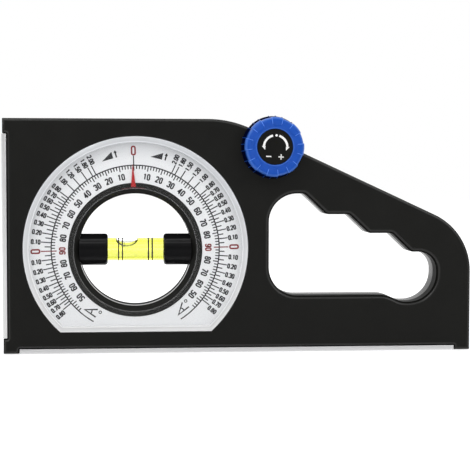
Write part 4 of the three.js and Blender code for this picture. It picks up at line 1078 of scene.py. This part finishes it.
def printSigns(sheet, half):  # on one half of the dial, -1 or 1
    s = signs
    at = signPlacer(half * s["slopeTurn"], s["slopeRadius"])
    right, top = [size / 2 for size in s["slopeSize"]]
    crest = right * s["wedgeShare"]
    sheet.area([at(-right, -top), at(crest, -top), at(crest, top)])
    sheet.band([at(right, -top), at(right, top)], False, s["stroke"])
    barbs = [at(right + side * s["tipHalf"], top - s["tipLength"]) for side in (-1, 1)]
    sheet.area([*barbs, at(right, top + s["tipOver"])])
    at = signPlacer(half * s["angleTurn"], s["angleRadius"])
    right, top = [size / 2 for size in s["angleSize"]]
    sheet.band([at(right * s["legShare"], top), at(-right, -top), at(right, -top)], False, s["stroke"])
    reach = s["angleSize"][0] * s["arcShare"]
    rise = math.atan2(2 * top, (1 + s["legShare"]) * right)
    turns = [rise * i / s["arcSteps"] for i in range(s["arcSteps"] + 1)]
    arc = [at(-right + reach * math.cos(t), -top + reach * math.sin(t)) for t in turns]
    sheet.band(arc, False, s["stroke"] * s["arcStroke"])
    turns = [2 * math.pi * i / s["ringSteps"] for i in range(s["ringSteps"])]
    circle = [at(right + s["ringAway"] + s["ringRadius"] * math.cos(t),
                 top * s["ringHeight"] + s["ringRadius"] * math.sin(t)) for t in turns]
    sheet.band(circle, True, s["stroke"] * s["ringStroke"])


def scaleMarks():  # (turn, offset of the middle from the circle, length) of every dark and every red mark
    a, s = angleScale, slopeScale
    darkMarks, redMarks = [], []
    for side in (-1, 1):
        for turn in range(a["tickStep"], a["tickEnd"] + 1, a["tickStep"]):
            reach = a["long"] if turn % a["labelStep"] == 0 else a["short"]
            (redMarks if turn == 90 else darkMarks).append((side * turn, -reach / 2, reach))
        slopes = [s["step"] * i for i in range(-s["stepCount"], s["stepCount"] + 1)]
        for slope in slopes + [value for value in s["labels"] if value >= 1]:
            isLabelled = abs(slope * 10 - round(slope * 10)) < hidden["tiny"]
            reach = (s["long"] if isLabelled else s["short"]) + (s["leftExtra"] if side < 0 else 0)
            marks = redMarks if abs(slope) < hidden["tiny"] else darkMarks
            marks.append((side * slopeTurn(slope), reach / 2, reach))
    darkMarks.append((0, s["topTick"] / 2 - a["long"] / 2, s["topTick"] + a["long"]))
    return darkMarks, redMarks


def inkSheet(name, sheet, material, marks):
    a, sink = angleScale, dial["markSink"]
    bands = facedOutwards(newMesh(name, sheet.vertices, sheet.faces))
    middle = [scalePoint(turn, a["radius"] + offset) for turn, offset, reach in marks]
    cloud = newMesh(name + "Marks", [(p.x, dial["front"] + sink, p.y) for p in middle],
                    attributes={"turn": [math.radians(turn + a["turn"]) for turn, offset, reach in marks],
                                "reach": [reach for turn, offset, reach in marks]})
    grown(cloud, trees["marks"], {"Width": a["tickWidth"], "Thickness": 2 * dial["ink"] + 2 * sink,
                                  "Material": materials[material]})
    return finished(joinedPieces([bands, cloud]), name, material, "housing")


darkPrint, redPrint = [Print(dial["front"], dial["ink"]) for _ in range(2)]
printScales(darkPrint, redPrint)
for half in (-1, 1):
    printSigns(darkPrint, half)
darkMarks, redMarks = scaleMarks()
inkSheet("dialPrintDark", darkPrint, "inkBlack", darkMarks)
inkSheet("dialPrintRed", redPrint, "inkRed", redMarks)
print("dial print made:", len(darkMarks) + len(redMarks), "marks")


# Rotor: sight ring, geared back half, vial and its sockets. Its axis is X 0, Z 0.
gear = {"root": 34.8, "tip": 36.85, "front": 8.05, "back": 12.55, "teeth": 72, "rootHalf": 0.98,
        "tipHalf": 0.45, "sink": 0.3}
socket = {
    "radius": 6.72, "spacing": 24.2, "ends": {-1: 11.75, 1: 12.1}, "chamfer": 1.2, "chamferSteps": 6,
    "depth": 6.0, "mouth": 0.35, "lip": 0.25, "neck": 2.2, "neckLength": 1.5, "head": 3.6, "headLength": 1.3,
    "fit": 0.1, "steps": 96,
}
vial = {
    "radius": 4.85, "wall": 0.9, "plug": 2.6, "lines": (-7.13, -5.51, 5.62, 7.25), "lineWidth": 0.52,
    "lineGap": 0.004, "linePrint": 0.025, "wetting": 0.02, "steps": 96,
}
tubeHalf = socket["spacing"] / 2 + socket["depth"] - hidden["gap"]


def sightRing():
    r = ring
    split = r["split"] - r["splitGap"]
    profile = [(r["bore"], split, r["splitSoft"]), (r["bore"], r["front"] + r["lip"], r["edgeSoft"]),
               (r["bore"] + r["lip"], r["front"], r["lipSoft"]), (r["outer"], r["front"], r["edgeSoft"]),
               (r["outer"], split, r["splitSoft"])]
    solid = turned("sightRing", roundedProfile(profile))
    return finished(solid, "sightRing", "ringBlack", "rotor", ["sight_ring"])


def ringGear():
    r, g = ring, gear
    profile = [(r["bore"], g["front"], 0), (g["root"], g["front"], 0), (g["root"], g["back"], 0),
               (r["outer"], g["back"], 0), (r["outer"], r["back"], r["edgeSoft"]),
               (r["bore"], r["back"], r["backSoft"])]
    seats = [bar("seat", ringScrews["head"] + hidden["gap"], r["back"] - ringScrews["seatDepth"],
                 r["back"] + hidden["overrun"], x, z) for x, y, z in ringSeats]
    wheel = carved(turned("ringGear", roundedProfile(profile)), seats)
    root = g["root"] - g["sink"]
    tooth = [(-g["rootHalf"], root), (g["rootHalf"], root), (g["tipHalf"], g["tip"]),
             (-g["tipHalf"], g["tip"])]
    teeth = grown(plate("teeth", tooth, g["front"], g["back"]), trees["roundRow"],
                  {"Count": g["teeth"], "Step": 2 * math.pi / g["teeth"], "Merge": 0.0,
                   "Material": materials["ringBlack"]})
    wheel = joinedPieces([wheel, teeth])
    return finished(wheel, "ringGear", "gearBlack", "rotor", ["ring_gear"])


# A socket is turned around X, and its outer end follows the ring's round bore
def vialSocket(side, end):
    k, chamfer = socket, socket["chamfer"]
    wall = ring["bore"] - k["fit"]
    start, throat = k["ends"][side], vial["radius"] + hidden["gap"]
    neckEnd = ring["bore"] + k["neckLength"]
    headEnd = neckEnd + k["headLength"]
    turns = [math.pi / 2 * i / k["chamferSteps"] for i in range(k["chamferSteps"] + 1)]
    profile = [(0, start + k["depth"]), (throat, start + k["depth"]), (throat, start + k["lip"]),
               (vial["radius"] + k["mouth"], start)]
    profile += [(k["radius"] - chamfer + chamfer * math.sin(t), start + chamfer * (1 - math.cos(t)))
                for t in turns]
    profile += [(k["radius"], None), (k["neck"], None), (k["neck"], neckEnd), (k["head"], neckEnd),
                (k["head"], headEnd), (0, headEnd)]
    vertices, faces = [], []
    count = len(profile)
    for step in range(k["steps"]):
        turn = 2 * math.pi * step / k["steps"]
        for radius, along in profile:
            up = radius * math.sin(turn)
            x = math.sqrt(wall ** 2 - up ** 2) if along is None else along
            vertices.append((side * x, halfDepth + radius * math.cos(turn), up))
        low, after = step * count, (step + 1) % k["steps"] * count
        faces += [(low + i, low + i + 1, after + i + 1, after + i) for i in range(count - 1)]
    name = "vialSocket" + end
    solid = newSolid(name, vertices, faces)
    return finished(solid, name, "socketBlack", "rotor", ["vial_socket_" + end.lower()])


def tubeAlong(name, inner, outer, half):  # a tube or a rod along X, at half depth
    solid = turned(name, [(inner, -half), (inner, half), (outer, half), (outer, -half)], steps=vial["steps"])
    solid.data.transform(Matrix.Translation((0, halfDepth, 0)) @ Matrix.Rotation(-math.pi / 2, 4, "Z"))
    return solid


def vialTube():
    tube = tubeAlong("tube", vial["radius"] - vial["wall"], vial["radius"], tubeHalf)
    return finished(tube, "vialTube", "vialAcrylic", "rotor", ["vial_tube"])


def vialLiquid():
    half = tubeHalf - vial["plug"] - hidden["gap"]
    body = tubeAlong("liquid", 0, vial["radius"] - vial["wall"] + vial["wetting"], half)
    mesh = bpy.data.meshes.new("bubble")
    work = bmesh.new()
    bmesh.ops.create_uvsphere(work, u_segments=bubble["segments"], v_segments=bubble["rings"], radius=1)
    work.to_mesh(mesh)
    work.free()
    mesh.transform(Matrix.Translation((bubble["shift"], halfDepth, bubble["rise"]))
                   @ Matrix.Diagonal((*bubble["radii"], 1)))
    body = carved(body, [placed("bubble", mesh)])
    return finished(body, "vialLiquid", "vialLiquid", "rotor", ["vial_liquid"])


def vialLines():
    line = tubeAlong("line", vial["radius"] + vial["lineGap"], vial["radius"] + vial["linePrint"],
                     vial["lineWidth"] / 2)
    lines = copiesAt("vialLines", line, [(x, 0, 0) for x in vial["lines"]], "inkBlack")
    return finished(lines, "vialLines", "inkBlack", "rotor")


sightRing()
ringGear()
vialSocket(1, "Right")
vialSocket(-1, "Left")
vialTube()
vialLiquid()
vialLines()
print("rotor made")


# Knob: eight raised pads on the face, and three ribs on the skirt below each pad. Its axis is X 0, Z 0.
knob = {
    "pads": 8, "firstPad": 50, "padHalf": 12.2, "flank": 1.0, "padHeight": 0.36, "edgeWidth": 1.0,
    "archRadius": 8.7, "archDepth": 1.2, "archFlank": 0.35, "ribSpacing": 12.5, "ribHalf": 1.3,
    "ribHeight": 0.33, "front": -10.7, "base": -0.3, "inner": 7.5, "lip": 0.15, "crown": 0.15,
    "shoulderRadius": 12.18, "shoulder": 1.9, "skirtRadius": 13.2, "hollow": 10.6, "floor": -8.4,
    "hub": 5.0, "bore": 2.6, "capSeat": -9.65, "columns": 120, "faceRows": 10, "shoulderRows": 10,
    "skirtRows": 8, "merge": 0.002,
}
# How light the knob's parts are painted: from painted shade at 0 in the valleys over 1 on the pads to a
# painted highlight at 2
knobShades = {"inside": 0.4, "rib": 0.9, "padFoot": 0.8, "padFade": 0.22, "band": 0.4,
              "bandEnds": (0.55, 0.15), "line": 0.3, "lineEnds": (0.3, 0.55)}


# Profile of the knob as (radius, y, outward radius share, outward front share, kind)
def knobProfile():
    k = knob
    rows = []
    faceStart, faceEnd = k["inner"] + k["lip"], k["shoulderRadius"] - k["shoulder"]
    for i in range(k["faceRows"] + 1):
        t = i / k["faceRows"]
        radius = faceStart + (faceEnd - k["inner"] - k["lip"]) * t
        rows.append((radius, k["front"] + k["crown"] * t * t, 0, 1, "face"))
    for i in range(1, k["shoulderRows"] + 1):
        t = math.pi / 2 * i / k["shoulderRows"]
        radius = k["shoulderRadius"] - k["shoulder"] * (1 - math.sin(t))
        y = k["front"] + k["crown"] + k["shoulder"] * (1 - math.cos(t))
        rows.append((radius, y, math.sin(t), math.cos(t), "shoulder"))
    top = rows[-1][1]
    for i in range(1, k["skirtRows"] + 1):
        t = i / k["skirtRows"]
        radius = k["shoulderRadius"] + (k["skirtRadius"] - k["shoulderRadius"]) * t
        rows.append((radius, top + (k["base"] - top) * t, 1, 0, "skirt"))
    inside = [(k["hollow"], k["base"]), (k["hollow"], k["floor"]), (k["hub"], k["floor"]),
              (k["hub"], k["base"]), (k["bore"], k["base"]), (k["bore"], k["capSeat"]),
              (k["inner"], k["capSeat"]), (k["inner"], k["front"] + k["lip"])]
    return rows + [(radius, y, 0, 0, "inside") for radius, y in inside]


def eased(value, start, end):
    t = min(max((value - start) / (end - start), 0), 1)
    return t * t * (3 - 2 * t)


# How far the grip stands out of the profile, and its painted shade. The offset is in degrees from a pad's
# middle.
def knobRelief(offset, radius, kind, depth):
    k, shade = knob, knobShades
    onPad = 1 - eased(abs(offset), k["padHalf"] - k["flank"], k["padHalf"])
    if kind == "inside":
        return 0.0, shade["inside"]
    # On the skirt the ribs and the pads' feet get a painted highlight over the valleys' painted shade
    if kind == "skirt":
        rib = max(0, *(1 - abs(offset - place * k["ribSpacing"]) / k["ribHalf"] for place in (-1, 0, 1)))
        foot = 1 - eased(depth, 0.0, shade["padFade"])
        relief = max(k["ribHeight"] * rib * (1 - foot), k["padHeight"] * onPad * foot)
        return relief, max(rib * shade["rib"], foot * shade["padFoot"])
    arch = k["archRadius"] + k["archDepth"] * (1 - math.sqrt(max(0, 1 - (offset / k["padHalf"]) ** 2)))
    inside = eased(radius, arch, arch + k["archFlank"]) * onPad
    # Painted highlights: along the pads' edges, in a band on the shoulder and in a line round the cap
    edge = inside * eased(abs(offset), k["padHalf"] - k["flank"] - k["edgeWidth"], k["padHalf"] - k["flank"])
    bandEnds = [k["shoulderRadius"] - k["shoulder"] * share for share in shade["bandEnds"]]
    lineEnds = [k["inner"] + away for away in shade["lineEnds"]]
    band = shade["band"] * eased(radius, *bandEnds)
    line = shade["line"] * (1 - eased(radius, *lineEnds))
    return k["padHeight"] * inside, 1.0 + max(edge, band, line)


# One pad's sector of the knob, repeated around it
def knobGrip():
    k = knob
    rows = knobProfile()
    skirtStart = next(row[1] for row in rows if row[4] == "skirt")
    vertices, faces, marks = [], [], []
    count = len(rows)
    span = 360 / k["pads"]
    for column in range(k["columns"] + 1):
        offset = -span / 2 + span * column / k["columns"]
        angle = math.radians(k["firstPad"] + offset)
        for radius, y, outward, forward, kind in rows:
            depth = (y - skirtStart) / (k["base"] - skirtStart)
            relief, mark = knobRelief(offset, radius, kind, depth)
            reach = radius + outward * relief
            vertices.append((reach * math.sin(angle), y - forward * relief, reach * math.cos(angle)))
            marks.append(mark)
    for column in range(k["columns"]):
        low, after = column * count, (column + 1) * count
        faces += [(low + i, low + (i + 1) % count, after + (i + 1) % count, after + i) for i in range(count)]
    sector = newMesh("sector", vertices, faces, {"paintedShading": marks})
    grown(sector, trees["roundRow"], {"Count": k["pads"], "Step": 2 * math.pi / k["pads"],
                                      "Merge": k["merge"], "Material": materials["knobBlue"]})
    facedOutwards(sector)
    return finished(sector, "knobGrip", "knobBlue", "knob_drive", ["knob"], sharp=50)


cap = {"radius": 7.4, "front": -11.13, "seat": -9.75, "edge": 0.3, "seatEdge": 0.1, "print": 0.018,
       "turn": 2.5}
capSign = {
    "radius": 4.93, "stroke": 0.92, "shift": 0.12, "drop": 0.17, "start": 15.5, "end": 88, "tip": 106,
    "lap": 1, "wing": 0.95, "innerWing": 0.7, "tipInset": 0.35, "arcStep": 5, "dotTurn": 2,
    "dotRadius": 0.52, "dotSteps": 24, "markX": 2.6, "markZ": -4.15, "markSize": 2.2, "markStroke": 0.46,
}


def knobCap():
    profile = [(0, cap["front"], 0), (cap["radius"], cap["front"], cap["edge"]),
               (cap["radius"], cap["seat"], cap["seatEdge"]), (0, cap["seat"], 0)]
    solid = turned("cap", roundedProfile(profile))
    return finished(solid, "knobCap", "capBlack", "knob_drive", ["knob_cap"])


# Sign on the cap: two curved arrows from a dot, with a minus and a plus below them
def capPrint():
    c, sheet = capSign, Print(cap["front"], cap["print"])
    ground = ((c["shift"], -c["drop"]), cap["turn"])
    for side in (-1, 1):
        writeArc(sheet, c["radius"], side * c["start"], side * c["end"], c["stroke"], *ground, c["arcStep"])
        base = side * (c["end"] - c["lap"])
        sheet.area([scalePoint(base, c["radius"] + c["wing"], *ground),
                    scalePoint(base, c["radius"] - c["wing"] * c["innerWing"], *ground),
                    scalePoint(side * c["tip"], c["radius"] - c["tipInset"], *ground)])
    dot = scalePoint(c["dotTurn"], c["radius"], *ground)
    turns = [2 * math.pi * i / c["dotSteps"] for i in range(c["dotSteps"])]
    sheet.area([dot + Vector((math.cos(t), math.sin(t))) * c["dotRadius"] for t in turns])
    tilt = Matrix.Rotation(-math.radians(cap["turn"]), 2)
    half = c["markSize"] / 2
    for side, axis in ((-1, (1, 0)), (1, (1, 0)), (1, (0, 1))):
        place = Vector((side * c["markX"], c["markZ"]))
        ends = [tilt @ (place + Vector(axis) * reach) for reach in (-half, half)]
        sheet.band(ends, False, c["markStroke"])
    solid = newSolid("capPrint", sheet.vertices, sheet.faces)
    return finished(solid, "capPrint", "printWhite", "knob_drive")


knobGrip()
knobCap()
capPrint()
print("knob made")


# Finishes of the CAD nodes that stay as they are
keptNodes = {
    "pointerRed": ["pointer"],
    "gearNylon": ["vial_plug_left", "vial_plug_right", "idler_gear", "drive_pinion"],
    "screwSteel": ["idler_pin", "idler_washer", "knob_screw", "drive_shaft", "spring_washer", "shaft_clip"],
    "bushBrass": ["front_bush", "rear_bush"],
}
for material, nodes in keptNodes.items():
    for node in nodes:
        frame["nodes"][node].data.materials.clear()
        frame["nodes"][node].data.materials.append(materials[material])


# Studio: the camera of the photograph, a pale floor and backdrop, soft lamps
camera = {"place": (-0.048865, -0.547225, 0.07697), "turn": (-2.79, -0.08, -4.9), "lens": 98.43, "sensor": 36,
          "nearest": 0.01}
studio = {
    "ambient": 0.52, "floorColour": (0.82, 0.82, 0.82), "floorGlow": 0.63, "floorSize": 6.0,
    "lampTarget": (0, 0, 0.05),
    # Mirrors see light bands from the front (0) to the back (1), brighter higher up, and white behind
    "glossStops": ((0.0, 0.06), (0.04, 0.08), (0.08, 1.3), (0.19, 1.3), (0.24, 0.06), (0.34, 0.06),
                   (0.36, 1.4), (0.42, 1.4), (0.44, 0.05)),
    "glossHeights": (0.2, 1.5, (-0.1, 0.25)), "glossBehind": (0.0, 1.0, (0.1, 0.4)),
}
lamps = {
    "key": {"place": (-0.75, -1.15, 1.25), "size": 0.9, "power": 7.5, "mirrored": True},
    "fill": {"place": (1.1, -1.2, 0.8), "size": 1.0, "power": 4.0, "mirrored": True},
    "low": {"place": (0.0, -1.1, 0.06), "size": 0.7, "power": 5.0, "mirrored": False},
    "back": {"place": (0.2, 1.1, 1.2), "size": 0.9, "power": 5.0, "mirrored": False},
}


def makeCamera():
    view = bpy.data.cameras.new("camera")
    view.lens, view.sensor_width, view.clip_start = camera["lens"], camera["sensor"], camera["nearest"]
    pitch, roll, yaw = [math.radians(value) for value in camera["turn"]]
    heading = Matrix.Rotation(yaw, 4, "Z") @ Matrix.Rotation(pitch, 4, "X") @ Matrix.Rotation(roll, 4, "Y")
    heading = Matrix.Translation(camera["place"]) @ heading @ Matrix.Rotation(math.pi / 2, 4, "X")
    scene.camera = placed("camera", view)
    scene.camera.matrix_world = heading


def lightRays(tree):  # 1 for rays of the camera and of glass, and 1 for rays of mirrors
    rays = tree.nodes.new("ShaderNodeLightPath").outputs
    seen = combined(tree, "MAXIMUM", rays["Is Camera Ray"], rays["Is Transmission Ray"])
    return seen, rays["Is Glossy Ray"]


def makeFloor():
    half = studio["floorSize"] / 2
    corners = [(-half, -half, 0), (half, -half, 0), (half, half, 0), (-half, half, 0)]
    floor = newMesh("floor", corners, [(0, 1, 2, 3)])
    material, tree, shader = newMaterial("floorWhite", {
        "Base Color": (*studio["floorColour"], 1), "Roughness": 0.9, "Specular IOR Level": 0.0,
        "Emission Color": (1, 1, 1, 1)})
    glow = between(tree, combined(tree, "MAXIMUM", *lightRays(tree)), 0.0, studio["floorGlow"])
    tree.links.new(glow, shader.inputs["Emission Strength"])
    floor.data.materials.append(material)


# The world is soft grey light. Cameras and glass see it white, and mirrors see it white behind the object and
# dim in front.
def makeWorld():
    world = bpy.data.worlds.new("studio")
    scene.world = world
    world.use_nodes = True
    tree = world.node_tree
    background = tree.nodes["Background"]
    background.inputs["Color"].default_value = (1, 1, 1, 1)
    seen, glossyRay = lightRays(tree)
    parts = separated(tree, addNode(tree, "ShaderNodeTexCoord").outputs["Generated"])
    around = ramp(tree, between(tree, parts["Y"], 0.0, 1.0, (-1.0, 1.0)), studio["glossStops"])
    lifted = combined(tree, "MULTIPLY", around, between(tree, parts["Z"], *studio["glossHeights"]))
    mirrored = combined(tree, "MAXIMUM", lifted, between(tree, parts["Y"], *studio["glossBehind"]))
    glossy = addNode(tree, "ShaderNodeMix", {2: studio["ambient"]}, data_type="FLOAT")
    strength = addNode(tree, "ShaderNodeMix", {3: 1.0}, data_type="FLOAT")
    joinNodes(tree, (glossyRay, glossy.inputs[0]), (mirrored, glossy.inputs[3]), (seen, strength.inputs[0]),
              (glossy.outputs[0], strength.inputs[2]), (strength.outputs[0], background.inputs["Strength"]))


def makeLamps():
    for name, look in lamps.items():
        light = bpy.data.lights.new(name, "AREA")
        light.energy, light.size = look["power"], look["size"]
        lamp = placed(name, light)
        lamp.visible_glossy = look["mirrored"]
        lamp.location = look["place"]
        aim = Vector(studio["lampTarget"]) - lamp.location
        lamp.rotation_euler = aim.to_track_quat("-Z", "Y").to_euler()


makeCamera()
makeFloor()
makeWorld()
makeLamps()
scene.view_settings.view_transform = "Standard"
print("studio made")
